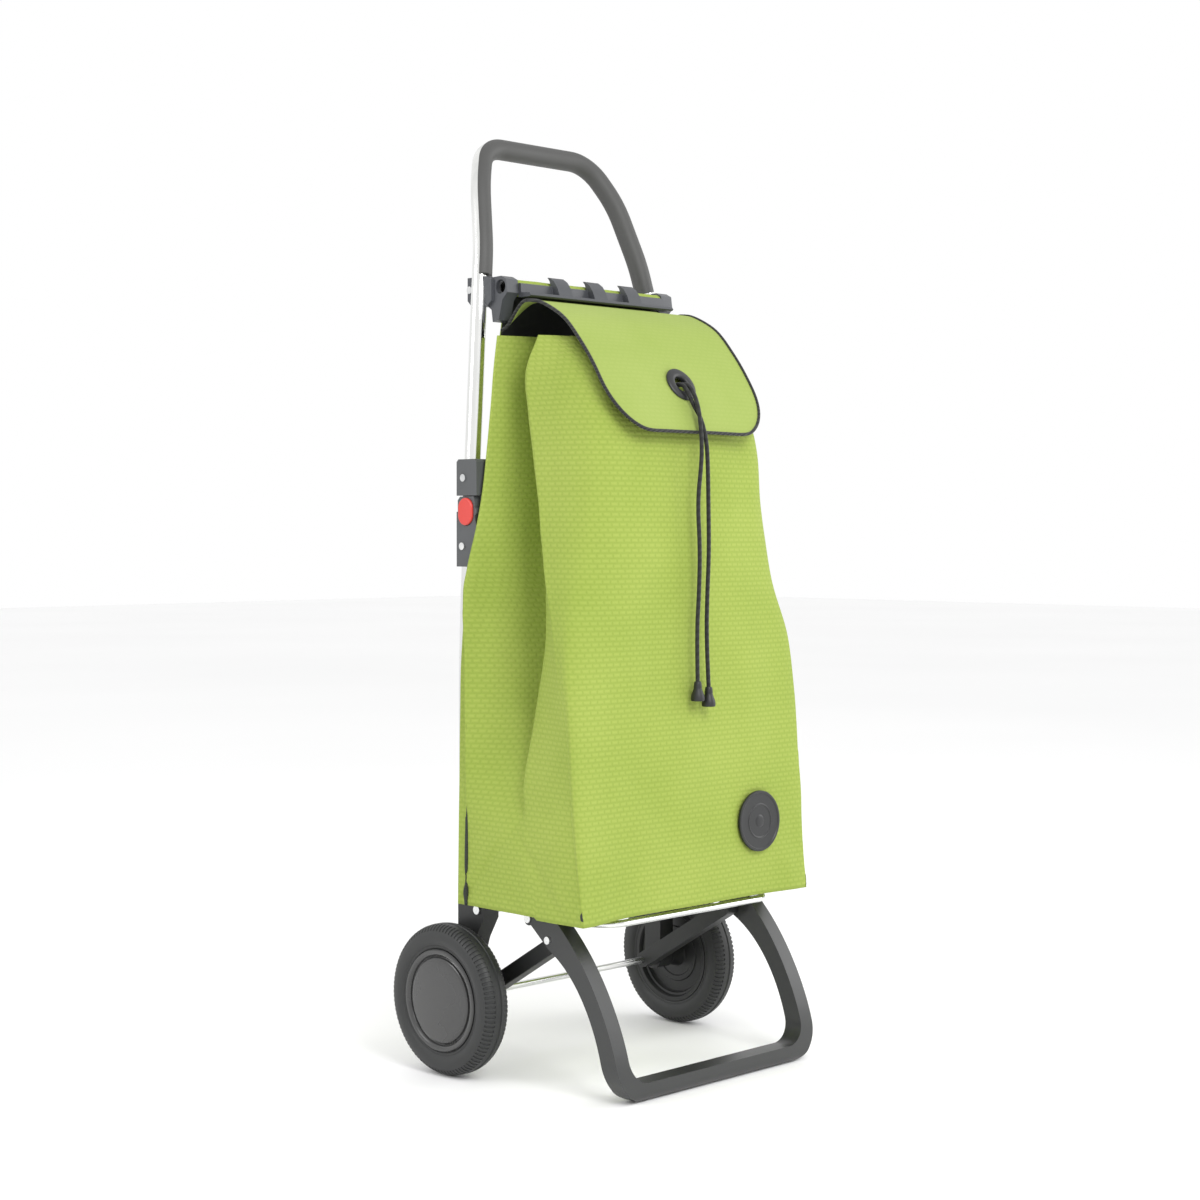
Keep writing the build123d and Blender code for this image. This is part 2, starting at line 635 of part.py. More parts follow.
# Height, front seam X and Y, front corner X and Y, front middle Y, back corner X, fold X and Y.
BAG_LEVELS = (
    (BAG_BOTTOM, 185.5, -134.3, 176, -134.4, -134.5, 185.5, 185.6, -34),
    (290, 185.5, -118, 180, -129, -131, 184, 181, -28),
    (400, 184, -103.5, 181, -120, -127, 181.8, 163, -18),
    (480, 180, -87.3, 176, -113, -125, 179, 150, -10),
    (545, 168, -62, 159, -106, -124, 168, 131, 2),
    (572, 162, -50, 153, -104, -124, 139, 122, 7),
    (640, 152, -31.6, 139, -101, -122, 138, 104, 16),
    (700, 146, -16, 133, -99, -118, 137, 94, 24),
    (745, 141, -3, 126, -91, -109, 133, 88, 28),
    (790, 136, 6, 118, -70, -85, 128, 84, 34),
    (832, 130, -8, 108, -42, -50, 124, 82, 30),
)
BACK_Y = 65.2

front_sections = []
back_sections = []
left_sections = []
right_sections = []
for z, seam_x, seam_y, corner_x, corner_y, middle_y, back_x, fold_x, fold_y in BAG_LEVELS:
    front_sections.append((z, [
        (-seam_x, seam_y), (-corner_x, corner_y), (-0.6 * corner_x, middle_y + 2), (0, middle_y),
        (0.6 * corner_x, middle_y + 2), (corner_x, corner_y), (seam_x, seam_y),
    ]))
    back_sections.append((z, [(back_x, BACK_Y), (0, BACK_Y), (-back_x, BACK_Y)]))
    right_sections.append((z, [(seam_x + 0.3, seam_y + 2.5), (fold_x, fold_y), (back_x, BACK_Y - 3.6)]))
    left_sections.append((z, [(-back_x, BACK_Y - 3.6), (-fold_x, fold_y), (-seam_x - 0.3, seam_y + 2.5)]))

cloth_wall("bag_front", front_sections)
cloth_wall("bag_back", back_sections)
cloth_wall("bag_gusset_left", left_sections)
cloth_wall("bag_gusset_right", right_sections)

YOKE_HALF = 116.0
with BuildPart() as bag_yoke:
    with BuildSketch(across(-1, YOKE_HALF, 0, 0)):
        with BuildLine():
            Polyline((65.2, 837), (58.2, 886), (56.6, 886), (63.6, 837), close=True)
        make_face()
    extrude(amount=2 * YOKE_HALF)
bag_yoke.part.label = "bag_yoke"
export_step(bag_yoke.part, "parts/bag_yoke.step")

BADGE_AT = (101.0, 278.5)
BADGE_RADIUS = 35.0
with BuildPart() as badge:
    with BuildSketch(Plane(origin=(BADGE_AT[0], -132.5, BADGE_AT[1]), x_dir=(1, 0, 0), z_dir=(0, -1, 0.03))):
        Circle(BADGE_RADIUS)
    extrude(amount=3.2)
    fillet(badge.faces().sort_by(Axis.Y)[0].edges(), 1)
badge.part.label = "badge"
export_step(badge.part, "parts/badge.step")


# Flap with its edge binding and eyelet.

FLAP_HINGE_Y = 14.0
FLAP_LINE = ((-8, 867), (-44, 849), (-70, 822), (-92, 793), (-115, 755), (-132.5, 721))
FLAP_BACK = (FLAP_HINGE_Y - 0.6, 870)
FLAP_CORNER = 60.0
BINDING = 3.0
EYELET_HOLE = 13.2
EYELET_Z = 776.0


def flap_sheet(outline_inset, front_lift, back_lift):
    """The curved flap, trimmed to its front outline, with the given cover on each face."""
    line = (FLAP_BACK,) + FLAP_LINE
    with BuildPart() as sheet:
        with BuildSketch(across(-1, FLAP_HALF, 0, 0)):
            with BuildLine():
                outer = Spline(*[(y - 0.6 * front_lift, z + 0.8 * front_lift) for y, z in line])
                inner = Spline(*[(y + 0.6 * back_lift, z - 0.8 * back_lift) for y, z in line])
                Line(outer @ 0, inner @ 0)
                Line(outer @ 1, inner @ 1)
            make_face()
        extrude(amount=2 * FLAP_HALF)
        with BuildSketch(Plane(origin=(0, -220, 0), x_dir=(1, 0, 0), z_dir=(0, -1, 0))):
            half = FLAP_HALF - outline_inset
            bottom = FLAP_LINE[-1][1] - 2 + outline_inset
            with Locations((0, bottom + 100)):
                RectangleRounded(2 * half, 200, FLAP_CORNER - outline_inset)
            with Locations((0, bottom + 120)):
                Rectangle(2 * half, 80)
        extrude(amount=-300, mode=Mode.INTERSECT)
    return sheet.part


with BuildPart() as flap:
    add(flap_sheet(BINDING, 0, CLOTH))
    with BuildSketch(Plane(origin=(0, -220, EYELET_Z), x_dir=(1, 0, 0), z_dir=(0, -1, 0))):
        Circle(EYELET_HOLE)
    extrude(amount=-200, mode=Mode.SUBTRACT)
flap.part.label = "flap"
export_step(flap.part, "parts/flap.step")

with BuildPart() as flap_piping:
    add(flap_sheet(0, 0.6, CLOTH + 0.6))
    add(flap_sheet(BINDING, 2, 5), mode=Mode.SUBTRACT)
flap_piping.part.label = "flap_piping"
export_step(flap_piping.part, "parts/flap_piping.step")

with BuildPart() as flap_root:
    with BuildSketch(across(-1, YOKE_HALF, 0, 0)):
        with BuildLine():
            Polyline(
                (36, 874.4), (FLAP_HINGE_Y, 871), (FLAP_HINGE_Y, 869.4), (36, 872.8), close=True,
            )
        make_face()
    extrude(amount=2 * YOKE_HALF)
flap_root.part.label = "flap_root"
export_step(flap_root.part, "parts/flap_root.step")

EYELET_RADIUS = 21.0
EYELET_BORE = 9.5
EYELET_NORMAL = Vector(0, -0.86, 0.51).normalized()
EYELET_DOWN = Vector(0, -0.51, -0.86).normalized()
EYELET_AT = Vector(0, -103.4, EYELET_Z)
eyelet_plane = Plane(origin=EYELET_AT - EYELET_NORMAL * 2.6, x_dir=(1, 0, 0), z_dir=EYELET_NORMAL)
with BuildPart() as eyelet:
    with BuildSketch(eyelet_plane):
        Circle(EYELET_HOLE - 0.8)
        Circle(EYELET_BORE, mode=Mode.SUBTRACT)
    extrude(amount=5.6)
    with BuildSketch(eyelet_plane.offset(3.2)):
        Circle(EYELET_RADIUS)
        Circle(EYELET_BORE, mode=Mode.SUBTRACT)
    extrude(amount=2.4)
eyelet.part.label = "eyelet"
export_step(eyelet.part, "parts/eyelet.step")


# Drawcord tails: each is a limp cord that leaves the eyelet, crosses the other and hangs.

CORD_RADIUS = 2.4


def at_eyelet(x, out, down):
    """A point out from the flap's face and down from the eyelet's centre."""
    point = EYELET_AT + EYELET_NORMAL * out + EYELET_DOWN * down
    return (x, point.Y, point.Z)


TAIL_ROUTES = {
    "left": (
        at_eyelet(3, -5, -3), at_eyelet(3, 7, 1.5), at_eyelet(2.6, 10, 15), at_eyelet(0.3, 10.4, 31),
        at_eyelet(-3.2, 8.6, 48), (-5, -139.8, 713), (-6.6, -141, 688), (-11, -139, 645), (-6.4, -138.6, 594),
        (-7, -138, 546), (-10.6, -137.6, 498), (-9.2, -138, 444),
    ),
    "right": (
        at_eyelet(-3, -5, -3), at_eyelet(-3, 5.8, 1.5), at_eyelet(-2.4, 6.6, 15), at_eyelet(0.5, 4.3, 31),
        at_eyelet(3.4, 4.4, 48), (4.6, -138.4, 712), (5.6, -139.4, 684), (8.2, -138, 640), (8.8, -138.4, 588),
        (6.2, -138, 538), (4.4, -138.6, 490), (9, -138, 437),
    ),
}
CORD_END_LENGTH = 21.0


def arc_radii(points):
    """One radius for each corner: 0.45 of the shorter run over the tangent of half the turn."""
    radii = []
    for before, corner, after in zip(points, points[1:], points[2:]):
        arriving = Vector(*corner) - Vector(*before)
        leaving = Vector(*after) - Vector(*corner)
        half_turn = math.radians(arriving.get_angle(leaving)) / 2
        radii.append(0.45 * min(arriving.length, leaving.length) / math.tan(half_turn))
    return radii


for side, sign in SIDES:
    points = TAIL_ROUTES[side]
    radii = arc_radii(points)
    with BuildPart() as cord_tail:
        with BuildLine() as tail_route:
            FilletPolyline(*points, radius=radii)
        with BuildSketch(Plane(origin=tail_route.line @ 0, z_dir=tail_route.line % 0)):
            Circle(CORD_RADIUS)
        sweep(path=tail_route.line)
    cord_tail.part.label = f"cord_tail_{side}"
    export_step(cord_tail.part, f"parts/cord_tail_{side}.step")
    length = sum(edge.length for edge in tail_route.edges())
    print("cord tail", side, "length", round(length, 1), "radii", [round(r) for r in radii])
    print("volume over section times length", round(
        cord_tail.part.volume / (math.pi * CORD_RADIUS**2 * length), 4))

    end_x, end_y, end_z = points[-1]
    with BuildPart() as cord_end:
        with BuildSketch(Plane(origin=(end_x, end_y, end_z), x_dir=(1, 0, 0), z_dir=(0, -1, 0))):
            with BuildLine():
                Polyline(
                    (0, 0), (4, 0), (4.6, -5), (7.6, -14), (7.8, -CORD_END_LENGTH), (0, -CORD_END_LENGTH),
                    close=True,
                )
            make_face()
        revolve(axis=Axis((end_x, end_y, end_z), (0, 0, 1)))
    cord_end.part.label = f"cord_end_{side}"
    export_step(cord_end.part, f"parts/cord_end_{side}.step")
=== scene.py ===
import math

import bmesh
import bpy
from mathutils import Matrix, Vector, noise


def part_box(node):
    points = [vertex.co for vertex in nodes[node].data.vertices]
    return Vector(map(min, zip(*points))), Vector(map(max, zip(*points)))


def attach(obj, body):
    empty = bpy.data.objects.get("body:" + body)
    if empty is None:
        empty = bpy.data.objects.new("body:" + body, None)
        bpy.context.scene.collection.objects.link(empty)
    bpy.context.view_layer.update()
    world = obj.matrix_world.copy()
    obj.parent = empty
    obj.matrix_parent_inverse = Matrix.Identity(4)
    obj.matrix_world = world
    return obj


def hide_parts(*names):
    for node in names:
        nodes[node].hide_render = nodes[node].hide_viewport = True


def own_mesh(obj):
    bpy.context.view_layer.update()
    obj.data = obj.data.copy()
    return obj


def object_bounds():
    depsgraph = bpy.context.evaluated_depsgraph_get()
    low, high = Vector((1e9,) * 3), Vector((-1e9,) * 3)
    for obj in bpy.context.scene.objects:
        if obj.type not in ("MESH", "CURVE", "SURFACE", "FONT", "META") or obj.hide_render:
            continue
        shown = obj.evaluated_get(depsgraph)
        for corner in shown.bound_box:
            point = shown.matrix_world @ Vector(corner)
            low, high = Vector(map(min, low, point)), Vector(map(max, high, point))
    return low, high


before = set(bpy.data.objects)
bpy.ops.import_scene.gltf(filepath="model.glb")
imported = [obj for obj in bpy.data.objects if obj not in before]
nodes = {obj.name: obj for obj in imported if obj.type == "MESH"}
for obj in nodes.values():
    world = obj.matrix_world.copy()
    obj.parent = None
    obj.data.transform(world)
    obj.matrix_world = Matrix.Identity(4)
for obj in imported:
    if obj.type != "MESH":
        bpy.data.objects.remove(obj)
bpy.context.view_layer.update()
scene = bpy.context.scene
sides = (("left", -1), ("right", 1))

axleLow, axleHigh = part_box("axle")
axleMiddle = (axleLow + axleHigh) / 2
homeShift = axleMiddle - Vector((0, 0.075, 0.0853))  # the frame's place against the design's own origin


def at(x, y, z):
    # a design point in millimetres, as a place in the frame
    return homeShift + Vector((x, y, z)) / 1000


# camera, level with the middle of the bag and half turned to its left side
camera = {"lens": 65.52, "sensor": 36, "place": (-1806.65, -1769.74, 610.9), "turn": (88.22, 0, -45.2)}
cameraData = bpy.data.cameras.new("camera")
cameraData.lens = camera["lens"]
cameraData.sensor_width = camera["sensor"]
cameraPiece = bpy.data.objects.new("camera", cameraData)
cameraPiece.location = at(*camera["place"])
cameraPiece.rotation_euler = [math.radians(a) for a in camera["turn"]]
scene.collection.objects.link(cameraPiece)
scene.camera = cameraPiece
print("camera placed")


# materials

def srgb(code):
    values = [int(code[i:i + 2], 16) / 255 for i in (1, 3, 5)]
    return [*(v / 12.92 if v <= 0.04045 else ((v + 0.055) / 1.055) ** 2.4 for v in values), 1]


def startMaterial(name, **sockets):
    material = bpy.data.materials.new(name)
    material.use_nodes = True
    shader = material.node_tree.nodes["Principled BSDF"]
    for socket, value in sockets.items():
        shader.inputs[socket.replace("_", " ")].default_value = value
    return material, shader


def addNode(material, kind, settings=None, links=None):
    tree = material.node_tree
    node = tree.nodes.new(kind)
    for key, value in (settings or {}).items():
        if isinstance(key, str) and hasattr(node, key):
            setattr(node, key, value)
        else:
            node.inputs[key].default_value = value
    for socket, source in (links or {}).items():
        tree.links.new(source, node.inputs[socket])
    return node


def blendRamp(material, source, stops):
    ramp = addNode(material, "ShaderNodeValToRGB", links={"Fac": source})
    elements = ramp.color_ramp.elements
    while len(elements) < len(stops):
        elements.new(0.5)
    for element, (place, code) in zip(elements, stops):
        element.position = place
        element.color = srgb(code)
    return ramp.outputs["Color"]


def woven(name, look):
    # dobby-woven polyester: staggered raised dashes that catch the light in rows, with a soft bloom at the
    # edges, and painted shade multiplied into the recessed grooves between them; the dashes are drawn coarser
    # than a real weave, which would not show at this size
    material, shader = startMaterial(
        name, Roughness=0.82, IOR=1.46, Sheen_Weight=look["sheen"], Sheen_Roughness=0.45)
    shader.inputs["Sheen Tint"].default_value = srgb(look["light"])
    cloth = addNode(material, "ShaderNodeUVMap", {"uv_map": "cloth"})
    dash = addNode(material, "ShaderNodeTexBrick", {
        "offset": 0.5, "Scale": 1.0, "Mortar Size": look["gap"], "Mortar Smooth": 1.0,
        "Brick Width": look["dashWidth"], "Row Height": look["rowHeight"],
    }, {"Vector": cloth.outputs["UV"]})
    yarn = addNode(
        material, "ShaderNodeTexNoise", {"Scale": 900.0, "Detail": 2.0}, {"Vector": cloth.outputs["UV"]})
    place = addNode(material, "ShaderNodeTexCoord")
    cloud = addNode(
        material, "ShaderNodeTexNoise", {"Scale": 9.0, "Detail": 3.0}, {"Vector": place.outputs["Object"]})
    base = blendRamp(material, cloud.outputs["Fac"], ((0.3, look["deep"]), (0.7, look["light"])))
    # painted shade: the groove colour is multiplied into the recessed grooves between the dashes, darkening
    # them
    shade = addNode(material, "ShaderNodeMix", {
        "data_type": "RGBA", "blend_type": "MULTIPLY", "clamp_factor": True,
    }, {6: base})
    shade.inputs[7].default_value = srgb(look["grooveShade"])
    strength = addNode(material, "ShaderNodeMath", {
        "operation": "MULTIPLY", 1: look["grooveShare"],
    }, {0: dash.outputs["Fac"]})
    material.node_tree.links.new(strength.outputs[0], shade.inputs[0])
    material.node_tree.links.new(shade.outputs[2], shader.inputs["Base Color"])
    yarnBump = addNode(
        material, "ShaderNodeBump", {"Strength": 0.25, "Distance": 0.0003}, {"Height": yarn.outputs["Fac"]})
    dashBump = addNode(material, "ShaderNodeBump", {
        "Strength": look["relief"], "Distance": 0.0009, "invert": True,
    }, {"Height": dash.outputs["Fac"], "Normal": yarnBump.outputs["Normal"]})
    material.node_tree.links.new(dashBump.outputs["Normal"], shader.inputs["Normal"])
    return material


def moulded(name, code, roughness, grain, depth, coat=0.0, worn=None):
    # injection-moulded plastic: an even colour with a fine spark-eroded grain that breaks up the highlight
    material, shader = startMaterial(
        name, Roughness=roughness, IOR=1.5, Coat_Weight=coat, Coat_Roughness=0.15)
    place = addNode(material, "ShaderNodeTexCoord")
    fine = addNode(material, "ShaderNodeTexNoise", {"Scale": 1000 / grain, "Detail": 3.0},
                   {"Vector": place.outputs["Object"]})
    broad = addNode(material, "ShaderNodeTexNoise", {"Scale": 14.0, "Detail": 4.0},
                    {"Vector": place.outputs["Object"]})
    colour = blendRamp(material, broad.outputs["Fac"], ((0.25, code), (0.8, worn or code)))
    material.node_tree.links.new(colour, shader.inputs["Base Color"])
    spread = addNode(material, "ShaderNodeMapRange", {
        "From Min": 0.3, "From Max": 0.7, "To Min": roughness - 0.05, "To Max": roughness + 0.08,
    }, {"Value": broad.outputs["Fac"]})
    material.node_tree.links.new(spread.outputs["Result"], shader.inputs["Roughness"])
    bump = addNode(
        material, "ShaderNodeBump", {"Strength": 0.5, "Distance": depth}, {"Height": fine.outputs["Fac"]})
    material.node_tree.links.new(bump.outputs["Normal"], shader.inputs["Normal"])
    return material


def bareMetal(name, code, roughness, along):
    # drawn and plated steel: near-mirror, with faint lines drawn out along its length
    material, shader = startMaterial(name, Metallic=1.0, Roughness=roughness)
    place = addNode(material, "ShaderNodeTexCoord")
    stretch = addNode(material, "ShaderNodeMapping", {"Scale": along}, {"Vector": place.outputs["Object"]})
    lines = addNode(
        material, "ShaderNodeTexNoise", {"Scale": 1.0, "Detail": 3.0}, {"Vector": stretch.outputs["Vector"]})
    colour = blendRamp(material, lines.outputs["Fac"], ((0.2, code), (0.8, "#F4F4F2")))
    material.node_tree.links.new(colour, shader.inputs["Base Color"])
    spread = addNode(material, "ShaderNodeMapRange", {
        "From Min": 0.3, "From Max": 0.7, "To Min": roughness * 0.7, "To Max": roughness * 1.5,
    }, {"Value": lines.outputs["Fac"]})
    material.node_tree.links.new(spread.outputs["Result"], shader.inputs["Roughness"])
    return material


def braided(name, code, pitch, slope):
    # braided polyester: matt diagonal strands with a little light on each crown, drawn coarse to show; the
    # light is painted, as the colour runs from painted shade, near black, between the strands to the cord's own
    # colour on each crown
    material, shader = startMaterial(name, Roughness=0.75, IOR=1.5, Sheen_Weight=0.15)
    place = addNode(material, "ShaderNodeTexCoord")
    turned = addNode(
        material, "ShaderNodeMapping", {"Rotation": (0, slope, 0.5)}, {"Vector": place.outputs["Object"]})
    strand = addNode(material, "ShaderNodeTexWave", {
        "bands_direction": "Z", "Scale": 1000 / pitch / 20 * 3.14159, "Distortion": 0.6, "Detail": 1.0,
    }, {"Vector": turned.outputs["Vector"]})
    # painted shade: the colour falls to near black in the valleys between strands, leaving each crown lighter
    # as painted light
    colour = blendRamp(material, strand.outputs["Fac"], ((0.1, "#0B0B0B"), (0.9, code)))
    material.node_tree.links.new(colour, shader.inputs["Base Color"])
    bump = addNode(
        material, "ShaderNodeBump", {"Strength": 0.8, "Distance": 0.0008}, {"Height": strand.outputs["Fac"]})
    material.node_tree.links.new(bump.outputs["Normal"], shader.inputs["Normal"])
    return material


# each cloth's groove colour is painted shade for the recessed grooves of its weave
limeCloth = woven("wovenPolyesterLime", {
    "light": "#99A84D", "deep": "#90A144", "grooveShade": "#DCE6C4", "grooveShare": 0.55, "sheen": 0.05,
    "dashWidth": 0.0098, "rowHeight": 0.0056, "gap": 0.0026, "relief": 0.42,
})
flapCloth = woven("wovenPolyesterLimeFine", {
    "light": "#94A454", "deep": "#8D9F4B", "grooveShade": "#EEF3E2", "grooveShare": 0.3, "sheen": 0.05,
    "dashWidth": 0.0098, "rowHeight": 0.0056, "gap": 0.0026, "relief": 0.1,
})
# charcoal lining for the inside of the bag and yoke; the same material on the flap's underside is painted
# shade, standing for the shadow under the flap, where the cloth is green
liningAndFlapShade = woven("wovenLiningCharcoalAndFlapShade", {
    "light": "#3A3D38", "deep": "#2B2E2A", "grooveShade": "#202020", "grooveShare": 0.4, "sheen": 0.05,
    "dashWidth": 0.0030, "rowHeight": 0.0015, "gap": 0.0005, "relief": 0.2,
})
pipingTape = braided("wovenBindingTape", "#222322", 1.6, 0.4)
cordBraid = braided("braidedPolyesterCord", "#1C1D1C", 3.2, 0.7)
tyreRubber = moulded("mouldedRubber", "#262727", 0.5, 0.7, 0.0002, worn="#2B2C2C")
capPlastic = moulded("mouldedPolypropylene", "#343434", 0.26, 2.5, 0.00003, coat=0.3, worn="#383838")
coreNylon = moulded("mouldedNylonBlack", "#191A1A", 0.45, 0.9, 0.00012, worn="#1E1F1F")
legNylon = moulded("mouldedNylonCharcoal", "#2F3030", 0.34, 0.8, 0.00012, worn="#343535")
strutNylon = moulded("mouldedNylonDark", "#1F2020", 0.45, 0.8, 0.00012, worn="#242525")
hingeNylon = moulded("mouldedNylonGrey", "#4A4C4D", 0.42, 0.8, 0.00012, worn="#505254")
hookPlastic = moulded("mouldedAcetalGrey", "#414347", 0.4, 0.8, 0.0001, worn="#46484C")
gripPlastic = moulded("softTouchGrip", "#414140", 0.52, 0.6, 0.00012, worn="#454544")
redPlastic = moulded("mouldedButtonRed", "#C8352C", 0.3, 1.2, 0.00004, coat=0.2, worn="#CC4038")
badgePlastic = moulded("mouldedBadgeCharcoal", "#1D1E1F", 0.4, 0.7, 0.0001, worn="#212223")
boardGrey = moulded("pressedFibreBoard", "#7C7D78", 0.8, 0.5, 0.0003, worn="#86877F")
chrome = bareMetal("chromedSteelTube", "#D9DAD8", 0.16, (60, 60, 4))
steel = bareMetal("zincPlatedSteel", "#C9CBCC", 0.24, (8, 90, 90))

# every node of the frame gets its finish here; the soft ones and the detailed ones are replaced further on
nodeFinish = {
    "axle": steel, "axle_clip": steel, "axle_washer": steel, "badge": badgePlastic, "bag_back": limeCloth,
    "bag_base": limeCloth, "bag_front": limeCloth, "bag_gusset": limeCloth, "bag_yoke": limeCloth,
    "base_board": boardGrey, "board_saddles": coreNylon, "bracket_rivets": steel, "button_spring": steel,
    "cord_end": coreNylon, "cord_tail": cordBraid, "crossbar": chrome, "crossbar_bracket": hookPlastic,
    "crossbar_sleeve": limeCloth, "eyelet": badgePlastic, "flap": flapCloth, "flap_piping": pipingTape,
    "flap_root": flapCloth, "fold_pin": steel, "front_leg": legNylon, "handle_grip": gripPlastic,
    "hinge_lower": hingeNylon, "hinge_rivets_lower": steel, "hinge_rivets_upper": steel,
    "hinge_upper": hingeNylon, "hook_rail": hookPlastic, "hub_cap": capPlastic, "leg_rivets": steel,
    "lower_upright": chrome, "rear_brace": chrome, "rear_bracket": strutNylon, "release_button": redPlastic,
    "shelf_loop": steel, "shelf_pins": steel, "strut": strutNylon, "tyre": tyreRubber, "upper_tube": chrome,
    "wheel_core": coreNylon,
}
for nodeName, node in nodes.items():
    finish = nodeFinish.get(nodeName) or nodeFinish[nodeName.rsplit("_", 1)[0]]
    for materialSlot in node.material_slots:
        materialSlot.material = finish
print("materials on", len(nodes), "frame nodes")


# shared ways of making a piece

def madeObject(name, mesh, materials):
    piece = bpy.data.objects.new(name, mesh)
    scene.collection.objects.link(piece)
    for material in materials:
        mesh.materials.append(material)
    return piece


def finishMesh(name, bm, materials, sharpAngle=32):
    mesh = bpy.data.meshes.new(name)
    bm.to_mesh(mesh)
    bm.free()
    mesh.shade_smooth()
    mesh.set_sharp_from_angle(angle=math.radians(sharpAngle))
    return madeObject(name, mesh, materials)


def bevelSharp(bm, width, segments, angle=35):
    sharp = [e for e in bm.edges if len(e.link_faces) == 2 and e.calc_face_angle() > math.radians(angle)]
    bmesh.ops.bevel(bm, geom=sharp, offset=width / 1000, offset_type="OFFSET", segments=segments, profile=0.5,
                    affect="EDGES", clamp_overlap=True, material=-1)


mouldedCopy = {"weld": 0.000002, "flatAngle": 1.5, "sharpAngle": 40}


def softened(nodeName, name, body, width, segments, material, slotName):
    # a moulded copy of a frame part: loose triangles merged, flats joined, corners rounded as by a mould
    bm = bmesh.new()
    bm.from_mesh(nodes[nodeName].data)
    bmesh.ops.remove_doubles(bm, verts=bm.verts, dist=mouldedCopy["weld"])
    bmesh.ops.dissolve_limit(
        bm, angle_limit=math.radians(mouldedCopy["flatAngle"]), verts=bm.verts, edges=bm.edges)
    bevelSharp(bm, width, segments)
    for face in bm.faces:
        face.material_index = 0
    piece = finishMesh(name, bm, [material], mouldedCopy["sharpAngle"])
    piece.modifiers.new("cornerShading", "WEIGHTED_NORMAL").keep_sharp = True
    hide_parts(nodeName)
    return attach(piece, body)


def smoothLine(points, steps):
    # a smooth run through a few shaping points, for cloth
    line = []
    padded = [points[0]] + list(points) + [points[-1]]
    for a, b, c, d in zip(padded, padded[1:], padded[2:], padded[3:]):
        for i in range(steps):
            t = i / steps
            line.append([
                0.5 * (2 * q + (r - p) * t + (2 * p - 5 * q + 4 * r - s) * t * t
                       + (3 * q - p - 3 * r + s) * t ** 3)
                for p, q, r, s in zip(a, b, c, d)])
    line.append(list(points[-1]))
    return [Vector(p) for p in line]


def pick(line, share):
    # the point at a share of a fine line's length
    whole = pick.lengths.setdefault(id(line), runLengths(line))
    target = share * whole[-1]
    for i in range(1, len(whole)):
        if whole[i] >= target or i == len(whole) - 1:
            run = max(whole[i] - whole[i - 1], 1e-9)
            return line[i - 1].lerp(line[i], min(max((target - whole[i - 1]) / run, 0), 1))


def runLengths(line):
    total = [0]
    for a, b in zip(line, line[1:]):
        total.append(total[-1] + (b - a).length)
    return total


pick.lengths = {}


def layCloth(bm, across, up, place, uvSpot, materialIndex=0):
    # a gridded panel of cloth: place gives each knot of the grid its spot, and uvSpot its spot on the
    # flat cloth in metres
    uvLayer = bm.loops.layers.uv.get("cloth") or bm.loops.layers.uv.new("cloth")
    made = bmesh.ops.create_grid(bm, x_segments=across, y_segments=up, size=0.5)["verts"]
    spots = {v: (v.co.x + 0.5, v.co.y + 0.5) for v in made}
    for v, (u, w) in spots.items():
        v.co = place(u, w)
    for face in {f for v in made for f in v.link_faces}:
        face.material_index = materialIndex
        for loop in face.loops:
            loop[uvLayer].uv = uvSpot(*spots[loop.vert])
    return made


def thicken(piece, thickness, offset, linedOrShaded=0):
    # gives a cloth its thickness; the last argument puts the next material on its inner side, as a lining, or
    # as painted shade under the flap
    wall = piece.modifiers.new("wall", "SOLIDIFY")
    wall.thickness = thickness
    wall.offset = offset
    wall.material_offset = linedOrShaded


def faceAlong(bm, axis):
    # turns an open sheet's faces to look along X, Y or Z
    bmesh.ops.recalc_face_normals(bm, faces=bm.faces)
    bm.normal_update()
    if sum(f.normal[axis] for f in bm.faces) < 0:
        bmesh.ops.reverse_faces(bm, faces=bm.faces)


# drawcord tails: thin, limp, braided; they leave the eyelet, cross and hang down the front

cordTail = {"radius": 2.4, "lengths": {"left": 0.3551, "right": 0.3587}}
eyeletSpot = Vector((0, -103.4, 776))
eyeletNormal = Vector((0, -0.86, 0.51)).normalized()
eyeletDown = Vector((0, -0.51, -0.86)).normalized()


def atEyelet(x, out, down):
    point = eyeletSpot + eyeletNormal * out + eyeletDown * down
    return (x, point.y, point.z)


cordRoutes = {
    "left": (
        atEyelet(3, -5, -3), atEyelet(3, 7, 1.5), atEyelet(2.6, 10, 15), atEyelet(0.3, 10.4, 31),
        atEyelet(-3.2, 8.6, 48), (-5, -139.8, 713), (-6.6, -141, 688), (-11, -139, 645), (-6.4, -138.6, 594),
        (-7, -138, 546), (-10.6, -137.6, 498), (-9.2, -138, 444),
    ),
    "right": (
        atEyelet(-3, -5, -3), atEyelet(-3, 5.8, 1.5), atEyelet(-2.4, 6.6, 15), atEyelet(0.5, 4.3, 31),
        atEyelet(3.4, 4.4, 48), (4.6, -138.4, 712), (5.6, -139.4, 684), (8.2, -138, 640), (8.8, -138.4, 588),
        (6.2, -138, 538), (4.4, -138.6, 490), (9, -138, 437),
    ),
}


def lathe(profile, steps, centre, axis, outward, closed):
    # turns a profile of (along, radius) points about an axis
    bm = bmesh.new()
    radial = axis.orthogonal().normalized()
    verts = [
        bm.verts.new(centre + axis * outward * along / 1000 + radial * r / 1000) for along, r in profile]
    pairs = list(zip(verts, verts[1:])) + ([(verts[-1], verts[0])] if closed else [])
    edges = [bm.edges.new(pair) for pair in pairs]
    bmesh.ops.spin(bm, geom=verts + edges, cent=centre, axis=axis, dvec=(0, 0, 0), angle=math.tau,
                   steps=steps, space=Matrix(), use_merge=True, use_normal_flip=False, use_duplicate=False)
    bmesh.ops.remove_doubles(bm, verts=bm.verts, dist=0.000005)
    bmesh.ops.recalc_face_normals(bm, faces=bm.faces)
    return bm


